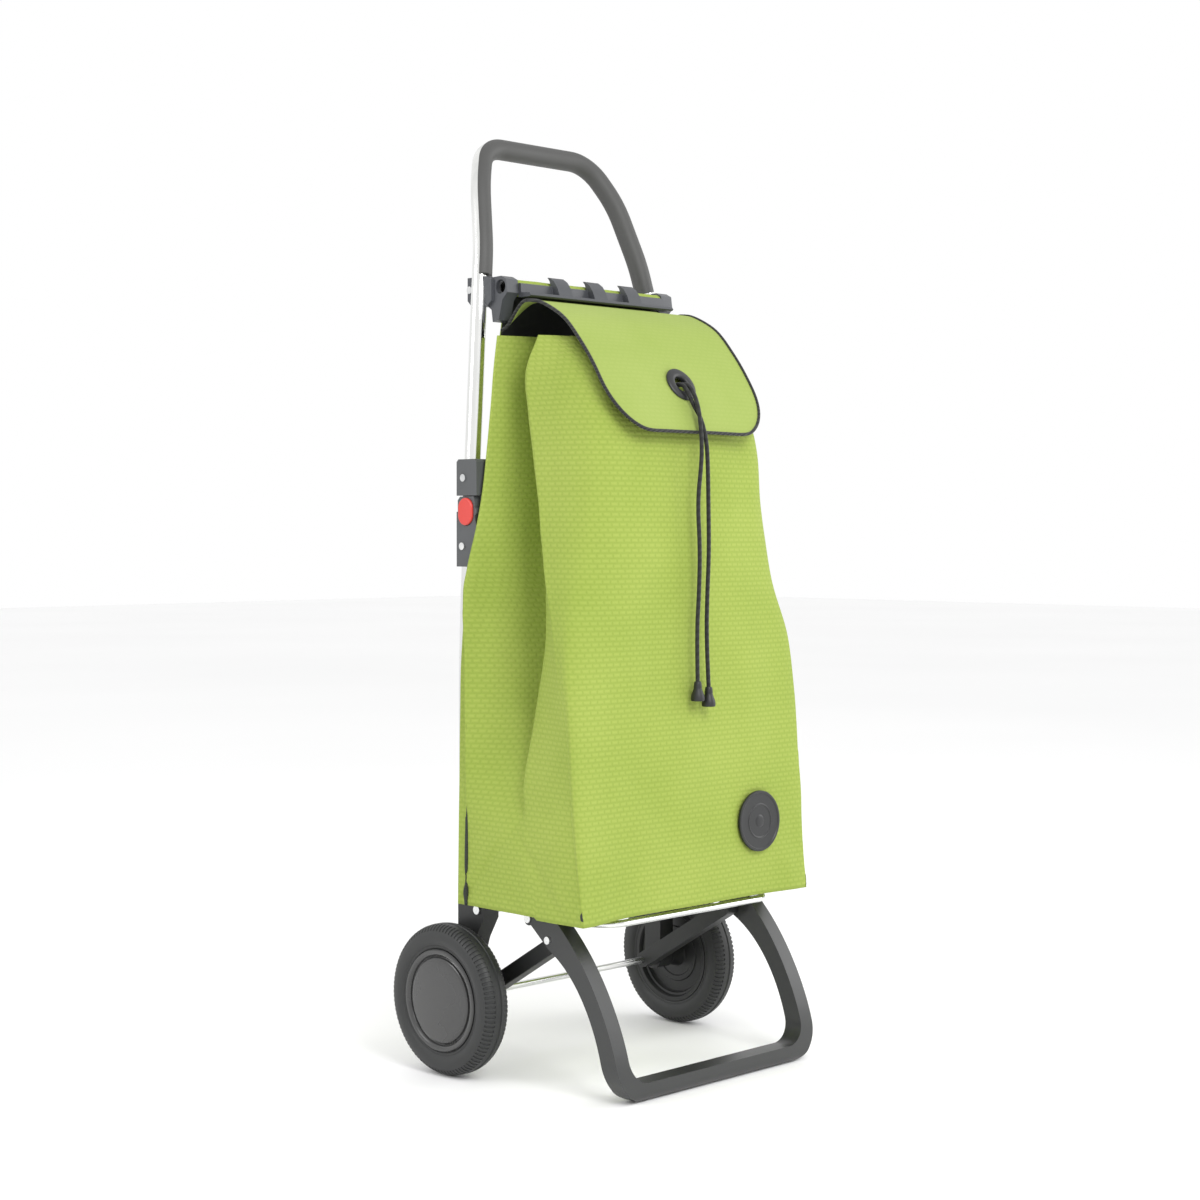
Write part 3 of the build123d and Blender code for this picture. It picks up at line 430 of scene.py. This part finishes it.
# the moulded bell on a cord's end, with a waist, a flare and an open foot: along and radius
bellProfile = (
    (-1, 0), (-1, 3.4), (0, 4), (2, 4.3), (5, 4.6), (7, 4.5), (8, 4.9), (11, 6), (14, 7.2), (17, 7.7),
    (19, 7.8), (20.6, 7.5), (21, 6.6), (20, 6.2), (15, 5.4), (14, 0),
)
for side, _ in sides:
    points = [at(*p) for p in cordRoutes[side]]
    curve = bpy.data.curves.new(f"cordTail_{side}", "CURVE")
    curve.dimensions = "3D"
    curve.bevel_depth = cordTail["radius"] / 1000
    curve.bevel_resolution = 5
    curve.resolution_u = 16
    curve.use_fill_caps = True
    spline = curve.splines.new("NURBS")
    spline.points.add(len(points) - 1)
    for knot, spot in zip(spline.points, points):
        knot.co = (*spot, 1)
    spline.order_u = 3
    spline.use_endpoint_u = True
    tail = madeObject(f"cordTail_{side}", curve, [cordBraid])
    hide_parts(f"cord_tail_{side}")
    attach(tail, "flap")

    bell = lathe(bellProfile, 40, points[-1], Vector((0, 0, -1)), 1, False)
    bellPiece = finishMesh(f"cordEnd_{side}", bell, [coreNylon], 50)
    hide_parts(f"cord_end_{side}")
    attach(bellPiece, "flap")
    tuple(points[0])
print("cords hung")


# bag: one sewn shell of a back, two folded gussets and a bowed front

bag = {
    "frontSteps": 15, "gussetSteps": 8, "backSteps": 20, "rows": 150, "backY": 65.2, "cloth": 1.6,
    "foldKeep": 0.42, "neckY": 51, "swellY": 47.5,
    # height, seam x and y, corner x and y, middle y, back corner x, swell x, fold x and y, ridge x and y; the
    # swell is where the cloth rounds the front of the hinge housings, the ridge is the gusset's outer pleat
    "levels": (
        (193.6, 185.5, -134.3, 176, -134.4, -134.5, 185.5, 185.6, 185.6, -34, 185.6, -60),
        (285, 185.5, -118, 180, -129, -131, 184, 185.5, 183, -28, 184.5, -50),
        (330, 185, -112, 180.5, -125, -129, 183, 186, 160, -27, 175, -32),
        (400, 184, -103.5, 181, -120, -127, 181.8, 186.5, 124, -20, 158, -30),
        (480, 180, -87.3, 176, -113, -125, 179, 187.5, 104, -12, 141, -30),
        (545, 168, -62, 159, -106, -124, 168, 190, 98, -2, 135, -28),
        (572, 162, -50, 153, -104, -124, 139, 186, 96, 2, 133, -24),
        (640, 152, -31.6, 139, -101, -122, 138, 166, 90, 10, 129, -16),
        (700, 146, -16, 133, -99, -118, 137, 156, 86, 18, 126, -6),
        (745, 141, -3, 126, -91, -109, 133, 151, 83, 22, 123, 3),
        (790, 136, 6, 118, -70, -85, 128, 146, 81, 28, 120, 10),
        (832, 130, -8, 108, -42, -50, 124, 140, 80, 26, 116, 4),
    ),
}


def bagLevel(z):
    # the shaping sizes at one height, eased between the levels
    levels = bag["levels"]
    if z <= levels[0][0]:
        return levels[0]
    for i in range(1, len(levels)):
        if z <= levels[i][0] or i == len(levels) - 1:
            low, high = levels[i - 1], levels[i]
            before, after = levels[max(i - 2, 0)], levels[min(i + 1, len(levels) - 1)]
            span = high[0] - low[0]
            t = min((z - low[0]) / span, 1)
            eased = []
            for b, l, h, a in zip(before, low, high, after):
                leaving = (h - b) / max(high[0] - before[0], 1) * span
                arriving = (a - l) / max(after[0] - low[0], 1) * span
                eased.append((2 * t ** 3 - 3 * t ** 2 + 1) * l + (t ** 3 - 2 * t ** 2 + t) * leaving
                             + (3 * t ** 2 - 2 * t ** 3) * h + (t ** 3 - t ** 2) * arriving)
            return eased


bagLow, bagHigh = bag["levels"][0][0], bag["levels"][-1][0]


def gaussian(distance, width):
    return math.exp(-(distance / width) ** 2)


bagRings = {}


def bagRing(row):
    # the four panels' fine lines at one row of the grid; a line's own points are the cloth's columns
    if row not in bagRings:
        z = bagLow + (bagHigh - bagLow) * row / bag["rows"]
        (_, seamX, seamY, cornerX, cornerY, middleY, backX, swellX, foldX, foldY,
         ridgeX, ridgeY) = bagLevel(z)
        backY = bag["backY"]
        ring = {"z": z}
        ring["front"] = smoothLine([
            (-seamX, seamY, z), (-cornerX, cornerY, z), (-0.6 * cornerX, middleY + 2, z), (0, middleY, z),
            (0.6 * cornerX, middleY + 2, z), (cornerX, cornerY, z), (seamX, seamY, z)], bag["frontSteps"])
        ring["back"] = smoothLine([(backX, backY, z), (0, backY, z), (-backX, backY, z)], bag["backSteps"])
        for side, sign in sides:
            # from the back corner, round the front of the hinge housing, in to the fold and out to the ridge
            ring[side] = smoothLine([(sign * x, y, z) for x, y in (
                (backX, backY), (backX + 0.5, bag["neckY"]), (swellX, bag["swellY"]),
                (0.45 * swellX + 0.55 * foldX, 0.45 * bag["swellY"] + 0.55 * foldY), (foldX, foldY),
                (ridgeX, ridgeY), (0.5 * (ridgeX + seamX) + 1, 0.5 * (ridgeY + seamY)), (seamX, seamY),
            )], bag["gussetSteps"])
        bagRings[row] = ring
    return bagRings[row]


def bagPlace(panel, flip):
    def place(u, w):
        line = bagRing(round(w * bag["rows"]))[panel]
        return at(*line[round((1 - u if flip else u) * (len(line) - 1))])
    return place


def bagCloth(panel):
    def spot(u, w):
        ring = bagRing(round(w * bag["rows"]))
        lengths = ring.setdefault(panel + "Lengths", runLengths(ring[panel]))
        return ((lengths[round(u * (len(lengths) - 1))] - lengths[-1] / 2) / 1000, ring["z"] / 1000)
    return spot


def lineDistance(p, a, b):
    # how far a point of the plane is from a run, and how far along the run it lies
    run = b - a
    t = min(max((p - a).dot(run) / run.length_squared, 0), 1)
    return (p - a - run * t).length, t


# creases of the gusset, as (y, z) runs: the fold's foot spreads to both bottom corners; width, depth
gussetCreases = (
    ((-30, 292), (63, 196), 5, -3.2), ((-30, 296), (56, 214), 9, 1.6),
    ((-30, 292), (-118, 198), 4.5, 1.8), ((-36, 284), (-112, 192), 9, -2.0),
    ((-24, 330), (48, 520), 12, 1.6), ((-20, 300), (60, 410), 9, -1.2),
)


relief = {
    "gussetWave": 1.2, "broadWave": 2.0, "crossWave": 1.1, "slackFrom": 200, "slackOver": 120, "backProud": 0.4,
    # the front's dents and swells: x, z, width, height, depth
    "spots": ((-16, 640, 9, 90, -1.6), (-2, 600, 14, 130, 1.0)),
    # pulls that fan out from the bottom corners: foot's z, top's share of the corner's x, top's z, width, depth
    "cornerX": 176, "pulls": ((200, 0.35, 330, 16, 1.5), (196, 0.75, 400, 11, -1.2)),
    # the hem sags at its front corners and the mouth's front corners dip: x, width, depth
    "hemSag": ((-176, 40, 3.0), (176, 60, 1.4)), "mouthDip": ((-100, 34, 5), (100, 34, 3)),
}


def clothRelief(spot, normal):
    # how far the cloth stands proud of its plain shape, in millimetres
    x, y, z = (spot - homeShift) * 1000
    proud = 0.0
    if abs(normal.x) > 0.5 and y < 62:
        p = Vector((y, z))
        for start, end, width, depth in gussetCreases:
            distance, along = lineDistance(p, Vector(start), Vector(end))
            fullness = math.sin(math.pi * min(along * 0.8 + 0.15, 1))
            proud += depth * gaussian(distance, width) * (0.35 + 0.65 * fullness)
        proud += relief["gussetWave"] * noise.noise(Vector((x / 200, y / 34, z / 70)))
    if y < -40:
        slack = min(max((z - relief["slackFrom"]) / relief["slackOver"], 0), 1)
        proud += relief["broadWave"] * slack * noise.noise(Vector((x / 62, 3.1, z / 150)))
        proud += relief["crossWave"] * slack * noise.noise(
            Vector(((x + 0.7 * z) / 60, 7.7, (z - 0.5 * x) / 110)))
        for spotX, spotZ, width, height, depth in relief["spots"]:
            proud += depth * gaussian(x - spotX, width) * gaussian(z - spotZ, height)
        for cornerX in (-relief["cornerX"], relief["cornerX"]):
            for footZ, topShare, topZ, width, depth in relief["pulls"]:
                pull, along = lineDistance(
                    Vector((x, z)), Vector((cornerX, footZ)), Vector((cornerX * topShare, topZ)))
                proud += depth * gaussian(pull, width) * (1 - along)
    if y > 60:
        proud = min(proud, relief["backProud"])
    return proud


def sagAt(x, sags):
    return sum(depth * gaussian(x - place, width) for place, width, depth in sags)


bagBm = bmesh.new()
for panel, flip in (("back", False), ("left", False), ("front", False), ("right", True)):
    columns = len(bagRing(0)[panel]) - 1
    layCloth(bagBm, columns, bag["rows"], bagPlace(panel, flip), bagCloth(panel))
bmesh.ops.remove_doubles(bagBm, verts=bagBm.verts, dist=0.0001)
bmesh.ops.recalc_face_normals(bagBm, faces=bagBm.faces)
bagBm.normal_update()
moves = {v: v.normal * clothRelief(v.co, v.normal) / 1000 for v in bagBm.verts}
for v, move in moves.items():
    v.co += move
    x, y, z = (v.co - homeShift) * 1000
    hemSag = sagAt(x, relief["hemSag"]) if y < -60 else 0
    mouthDip = sagAt(x, relief["mouthDip"]) if y < 20 else 0
    v.co.z -= hemSag * gaussian(z - bagLow, 40) / 1000
    v.co.z -= mouthDip * gaussian(z - bagHigh, 22) / 1000
bagArea = sum(f.calc_area() for f in bagBm.faces)
bagShell = finishMesh("bagShell", bagBm, [limeCloth, liningAndFlapShade], 180)
thicken(bagShell, bag["cloth"] / 1000, -1, linedOrShaded=1)
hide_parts("bag_front", "bag_back", "bag_gusset_left", "bag_gusset_right")
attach(bagShell, "lower_frame")
at(0, 0, bagLow)
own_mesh(bagShell)
print("bag sewn, area", round(bagArea, 3))

# bag floor, flat over the board
floorCloth = {
    "halfWidth": 183.5, "front": -132.6, "back": 64.0, "height": 193.9, "notchX": 136, "notchY": 37,
}


def floorPlace(u, w):
    x = (u - 0.5) * 2 * floorCloth["halfWidth"]
    y = floorCloth["front"] + (floorCloth["back"] - floorCloth["front"]) * w
    # the rear corners are notched round the uprights, as the board's are
    y = min(y, floorCloth["notchY"]) if abs(x) > floorCloth["notchX"] else y
    return at(x, y, floorCloth["height"])


floorBm = bmesh.new()
layCloth(floorBm, 60, 40, floorPlace, lambda u, w: (u * 0.367, w * 0.197))
bmesh.ops.recalc_face_normals(floorBm, faces=floorBm.faces)
bagFloor = finishMesh("bagFloor", floorBm, [limeCloth], 180)
thicken(bagFloor, 0.0014, 1)
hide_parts("bag_base")
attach(bagFloor, "shelf")


# flap: a curved sheet hung from the hook rail, bound with piping

flapCut = {
    "half": 126, "corner": 60, "sideDrop": 3.0, "lastRow": 0.995,
    "line": ((13.4, 870), (-8, 867), (-44, 849), (-70, 822), (-92, 793), (-115, 755), (-132.5, 721)),
}
flapProfile = smoothLine([(0, y, z) for y, z in flapCut["line"]], 14)
flapLength = runLengths(flapProfile)[-1]


def flapHalfWidth(z, inset):
    bottom = flapCut["line"][-1][1] - 2 + inset
    corner = flapCut["corner"] - inset
    rise = min(max(z - bottom, 0), corner)
    return flapCut["half"] - inset - corner + math.sqrt(max(corner ** 2 - (corner - rise) ** 2, 0))


def flapPoint(across, along, inset=1.5):
    spine = pick(flapProfile, along)
    x = across * flapHalfWidth(spine.z, inset)
    edge = abs(x) / flapCut["half"]
    drop = flapCut["sideDrop"] * max(edge - 0.35, 0) ** 2 * min(along * 3, 1)
    ripple = 0.8 * noise.noise(Vector((x / 70, 1.7, along * 2.4))) * min(along * 4, 1)
    ripple -= 1.3 * gaussian(x, 30) * gaussian(along - 0.62, 0.12)  # the cord's pull dents it at the eyelet
    return (x, spine.y - 0.6 * ripple + drop * 0.5, spine.z + 0.48 * ripple - drop)


flapBm = bmesh.new()
layCloth(
    flapBm, 72, 84, lambda u, w: at(*flapPoint(2 * u - 1, w if w < 1 else flapCut["lastRow"])),
    lambda u, w: ((u - 0.5) * 0.252, -w * flapLength / 1000))
faceAlong(flapBm, 2)
# the eyelet's hole
holeFaces = [f for f in flapBm.faces if (f.calc_center_median() - at(*eyeletSpot)).length < 0.0115]
bmesh.ops.delete(flapBm, geom=holeFaces, context="FACES")
# painted shade: the flap's underside takes the dark charcoal lining, standing for the shadow under the flap,
# where the cloth is green
flapPiece = finishMesh("flap", flapBm, [flapCloth, liningAndFlapShade], 180)
thicken(flapPiece, 0.0016, -1, linedOrShaded=1)
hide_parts("flap")
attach(flapPiece, "flap")


def pipe(name, points, radius, material, body):
    curve = bpy.data.curves.new(name, "CURVE")
    curve.dimensions = "3D"
    curve.bevel_depth = radius / 1000
    curve.bevel_resolution = 3
    curve.resolution_u = 4
    curve.use_fill_caps = True
    spline = curve.splines.new("NURBS")
    spline.points.add(len(points) - 1)
    for knot, spot in zip(spline.points, points):
        knot.co = (*at(*spot), 1)
    spline.order_u = 3
    spline.use_endpoint_u = True
    piece = madeObject(name, curve, [material])
    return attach(piece, body)


leftEdge = [flapPoint(-1, 0.985 * i / 26, 0.6) for i in range(27)]
rightEdge = [flapPoint(1, 0.985 * i / 26, 0.6) for i in range(27)]
bottomEdge = [flapPoint(-0.9 + 1.8 * i / 12, flapCut["lastRow"], 0.6) for i in range(13)]
flapEdge = leftEdge + bottomEdge + rightEdge[::-1]
flapPiping = pipe("flapPiping", flapEdge, 1.9, pipingTape, "flap")
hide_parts("flap_piping")

# eyelet: a rolled ring with a dark throat
ring = lathe(
    ((-2.4, 9.5), (0.4, 9.5), (2.0, 10.2), (2.9, 11.6), (3.1, 14), (2.8, 17), (2.2, 19.6), (1.3, 20.8),
     (0.5, 21), (0.5, 12.4), (-2.4, 12.4)), 72, at(*eyeletSpot), eyeletNormal, 1, True)
eyeletPiece = finishMesh("eyelet", ring, [badgePlastic], 40)
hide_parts("eyelet")
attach(eyeletPiece, "flap")
print("flap hung")


# upper cloth: the yoke behind, the sleeve round the crossbar, and the flap's root with its drooping ends

sleeveCut = {"half": 117, "y": 47, "z": 887, "radius": 9.5}
yokeBm = bmesh.new()


def yokePlace(u, w):
    x = (2 * u - 1) * 121
    y = 65.0 - 8.4 * w + 0.8 * noise.noise(Vector((x / 40, w * 2, 0)))
    return at(x * (1 - 0.02 * w), y, 829 + 58 * w)


layCloth(yokeBm, 60, 14, yokePlace, lambda u, w: (u * 0.242, w * 0.058))
faceAlong(yokeBm, 1)
bagYoke = finishMesh("bagYoke", yokeBm, [limeCloth, liningAndFlapShade], 180)
thicken(bagYoke, 0.0016, 0, linedOrShaded=1)
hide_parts("bag_yoke")
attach(bagYoke, "upper_frame")


def sleevePlace(u, w):
    x = (2 * u - 1) * sleeveCut["half"]
    turn = math.tau * w
    slack = sleeveCut["radius"] + 0.35 * noise.noise(Vector((x / 18, math.cos(turn) * 2, math.sin(turn) * 2)))
    slack += 0.5 * gaussian(abs(x) - sleeveCut["half"], 3)
    return at(x, sleeveCut["y"] + slack * math.cos(turn), sleeveCut["z"] + slack * math.sin(turn))


sleeveBm = bmesh.new()
layCloth(sleeveBm, 90, 36, sleevePlace, lambda u, w: (u * 0.234, w * 0.06))
bmesh.ops.remove_doubles(sleeveBm, verts=sleeveBm.verts, dist=0.00002)
bmesh.ops.recalc_face_normals(sleeveBm, faces=sleeveBm.faces)
sleeve = finishMesh("crossbarSleeve", sleeveBm, [limeCloth, limeCloth], 180)
thicken(sleeve, 0.0012, -1)
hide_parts("crossbar_sleeve")
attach(sleeve, "upper_frame")

flapRootCut = {"front": 13.4, "frontZ": 870, "rear": 56, "rearZ": 874, "droop": 34}


def rootPoint(u, w):
    x = (2 * u - 1) * flapCut["half"]
    edge = max((abs(x) - 96) / 30, 0)
    y = flapRootCut["front"] + (flapRootCut["rear"] - flapRootCut["front"]) * w * (0.55 + 0.45 * min(edge, 1))
    rise = 3.4 * min(w * 2, 1)
    fall = flapRootCut["droop"] * min(edge, 1.0) ** 1.3 * (1 - math.cos(math.pi * w)) / 2
    return (x, y, flapRootCut["frontZ"] + rise - fall)


rootBm = bmesh.new()
layCloth(rootBm, 72, 20, lambda u, w: at(*rootPoint(u, w)), lambda u, w: ((u - 0.5) * 0.252, w * 0.045))
faceAlong(rootBm, 2)
rootArea = sum(f.calc_area() for f in rootBm.faces)
flapRoot = finishMesh("flapRoot", rootBm, [flapCloth, flapCloth], 180)
thicken(flapRoot, 0.0016, -1)
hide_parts("flap_root")
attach(flapRoot, "upper_frame")
for side, sign in sides:
    edge = [rootPoint((sign + 1) / 2, i / 10) for i in range(11)]
    pipe(f"rootPiping_{side}", edge, 1.9, pipingTape, "upper_frame")
print("upper cloth sewn")


# wheels: tyre with ribbed shoulders, a stepped dish and a domed cap

wheel = {"x": 189.6, "ribs": 96, "ribDepth": 0.9}
tyreProfile = (
    (-13, 57.9), (13, 57.9), (14.6, 58.6), (15.2, 60), (15, 61.2), (15.8, 62.2), (17, 64.2), (17.8, 67),
    (18, 70), (17.6, 74), (16.4, 78), (14, 81.4), (10.6, 83.7), (7, 84.8), (2.4, 85.3), (1.8, 84.2),
    (-1.8, 84.2), (-2.4, 85.3), (-7, 84.8), (-10.6, 83.7), (-14, 81.4), (-16.4, 78), (-17.6, 74), (-18, 70),
    (-17.8, 67), (-17, 64.2), (-15.8, 62.2), (-15, 61.2), (-15.2, 60), (-14.6, 58.6),
)
coreProfile = (
    (-15, 57.9), (15, 57.9), (15, 54.5), (13.5, 53.6), (4, 51), (3.4, 50), (3.4, 13), (4, 12.4), (13.4, 12),
    (14, 11.4), (14, 4.2), (-21, 4.2), (-21, 11), (-20.4, 12), (-5.5, 14.4), (-4, 15.5), (-4, 27),
    (-5.4, 28), (-5.4, 33.5), (-4, 34.5), (-4, 46.4), (-5, 47.4), (-9, 48.6), (-9.6, 51.2), (-14.2, 52.4),
    (-15, 53.2),
)
capProfile = (
    (14, 0), (14, 40), (12.8, 44), (9, 46), (9, 54), (12, 57.6), (15.4, 57.6), (16.6, 56.6), (16.9, 54.6),
    (16.4, 52.6), (14.6, 51), (12.6, 50.2), (12, 49.2), (12.6, 48.2), (14.8, 47.4), (15.6, 46.2), (15.9, 44),
    (16.6, 36), (17.3, 24), (17.75, 12), (17.9, 0),
)
for side, sign in sides:
    middle = at(sign * wheel["x"], 75, 85.3)
    body = f"wheel_{side}"
    tyreBm = lathe(tyreProfile, wheel["ribs"] * 2, middle, Vector((1, 0, 0)), sign, True)
    ribFaces = []
    for face in tyreBm.faces:
        spot = (face.calc_center_median() - middle) * 1000
        radius = math.hypot(spot.y, spot.z)
        turn = math.atan2(spot.z, spot.y) % math.tau
        if 79 < radius < 84.6 and abs(spot.x) > 8.5 and int(turn / math.tau * wheel["ribs"] * 2) % 2 == 0:
            ribFaces.append(face)
    bmesh.ops.inset_region(tyreBm, faces=ribFaces, thickness=0.00035, depth=-wheel["ribDepth"] / 1000,
                           use_even_offset=True, use_boundary=True)
    tyrePiece = finishMesh(f"tyre_{side}_ribbed", tyreBm, [tyreRubber], 28)
    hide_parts(f"tyre_{side}")
    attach(tyrePiece, body)

    coreBm = lathe(coreProfile, 96, middle, Vector((1, 0, 0)), sign, True)
    corePiece = finishMesh(f"dish_{side}", coreBm, [coreNylon], 35)
    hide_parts(f"wheel_core_{side}")
    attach(corePiece, body)

    capBm = lathe(capProfile, 96, middle, Vector((1, 0, 0)), sign, False)
    capPiece = finishMesh(f"cap_{side}", capBm, [capPlastic], 35)
    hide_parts(f"hub_cap_{side}")
    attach(capPiece, body)
print("wheels turned")


# moulded parts with their corners rounded

for side, _ in sides:
    for nodeName, name, body, width, segments, material, slotName in (
        (f"hinge_lower_{side}", f"hingeLower_{side}", "lower_frame", 1.0, 2, hingeNylon, "black_plastic"),
        (f"hinge_upper_{side}", f"hingeUpper_{side}", "upper_frame", 1.0, 2, hingeNylon, "black_plastic"),
        (f"rear_bracket_{side}", f"rearBracket_{side}", "lower_frame", 1.2, 2, strutNylon, "black_plastic"),
        (f"release_button_{side}", f"releaseButton_{side}", f"button_{side}", 1.2, 3, redPlastic,
         "red_plastic"),
        (f"crossbar_bracket_{side}", f"crossbarBracket_{side}", "upper_frame", 1.2, 2, hookPlastic,
         "grey_plastic"),
        (f"strut_{side}", f"strut_{side}_moulded", "struts", 1.4, 2, strutNylon, "black_plastic"),
    ):
        softened(nodeName, name, body, width, segments, material, slotName)
softened("front_leg", "frontLeg", "leg", 3.6, 3, legNylon, "black_plastic")
softened("hook_rail", "hookRail", "upper_frame", 0.7, 2, hookPlastic, "grey_plastic")
print("mouldings rounded")


# badge: a plain disc with a raised rim and two plain rings, no mark

badgeSpot = at(101, -132.5, 278.5)
badgeProfile = (
    (0, 0), (0, 35), (2.2, 35), (3.0, 34.4), (3.2, 33.6), (3.0, 32), (2.3, 31.2), (2.2, 30.4), (2.2, 20.6),
    (2.5, 20.2), (2.9, 19.2), (2.5, 18.2), (2.2, 17.8), (2.2, 7.4), (2.6, 6.8), (3.0, 5), (3.1, 0),
)
badgeBm = lathe(badgeProfile, 96, badgeSpot, Vector((0, -1, 0.03)).normalized(), 1, False)
badgePiece = finishMesh("badgeDisc", badgeBm, [badgePlastic], 25)
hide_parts("badge")
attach(badgePiece, "lower_frame")


# floor and light: a pale plain floor, one big soft light high in front, a fill and a rim

floorMaterial, floorShader = startMaterial("paintedFloor", Roughness=0.6)
floorSpot = addNode(floorMaterial, "ShaderNodeTexCoord")
floorCloud = addNode(
    floorMaterial, "ShaderNodeTexNoise", {"Scale": 0.6}, {"Vector": floorSpot.outputs["Object"]})
floorColour = blendRamp(floorMaterial, floorCloud.outputs["Fac"], ((0.3, "#F7F7F7"), (0.7, "#FAFAFA")))
floorMaterial.node_tree.links.new(floorColour, floorShader.inputs["Base Color"])
floorBase = bmesh.new()
bmesh.ops.create_grid(floorBase, x_segments=4, y_segments=4, size=14)
bmesh.ops.translate(floorBase, verts=floorBase.verts, vec=(0, 0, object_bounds()[0].z - 0.0004))
floorPiece = finishMesh("studioFloor", floorBase, [floorMaterial])

world = bpy.data.worlds.new("softRoom")
world.use_nodes = True
world.node_tree.nodes["Background"].inputs["Color"].default_value = srgb("#FFFFFF")
world.node_tree.nodes["Background"].inputs["Strength"].default_value = 1.0
scene.world = world
scene.view_settings.view_transform = "Standard"

softboxes = {
    "keyLight": {"place": (-700, -2300, 2200), "size": 1.3, "watts": 44},
    "fillLight": {"place": (2100, -1300, 1300), "size": 1.6, "watts": 20},
    "rimLight": {"place": (-2100, 700, 1500), "size": 1.0, "watts": 12},
}
for name, lamp in softboxes.items():
    data = bpy.data.lights.new(name, "AREA")
    data.energy = lamp["watts"]
    data.size = lamp["size"]
    light = bpy.data.objects.new(name, data)
    light.location = at(*lamp["place"])
    light.rotation_euler = (at(0, 0, 480) - light.location).to_track_quat("-Z", "Y").to_euler()
    scene.collection.objects.link(light)
print("studio lit")
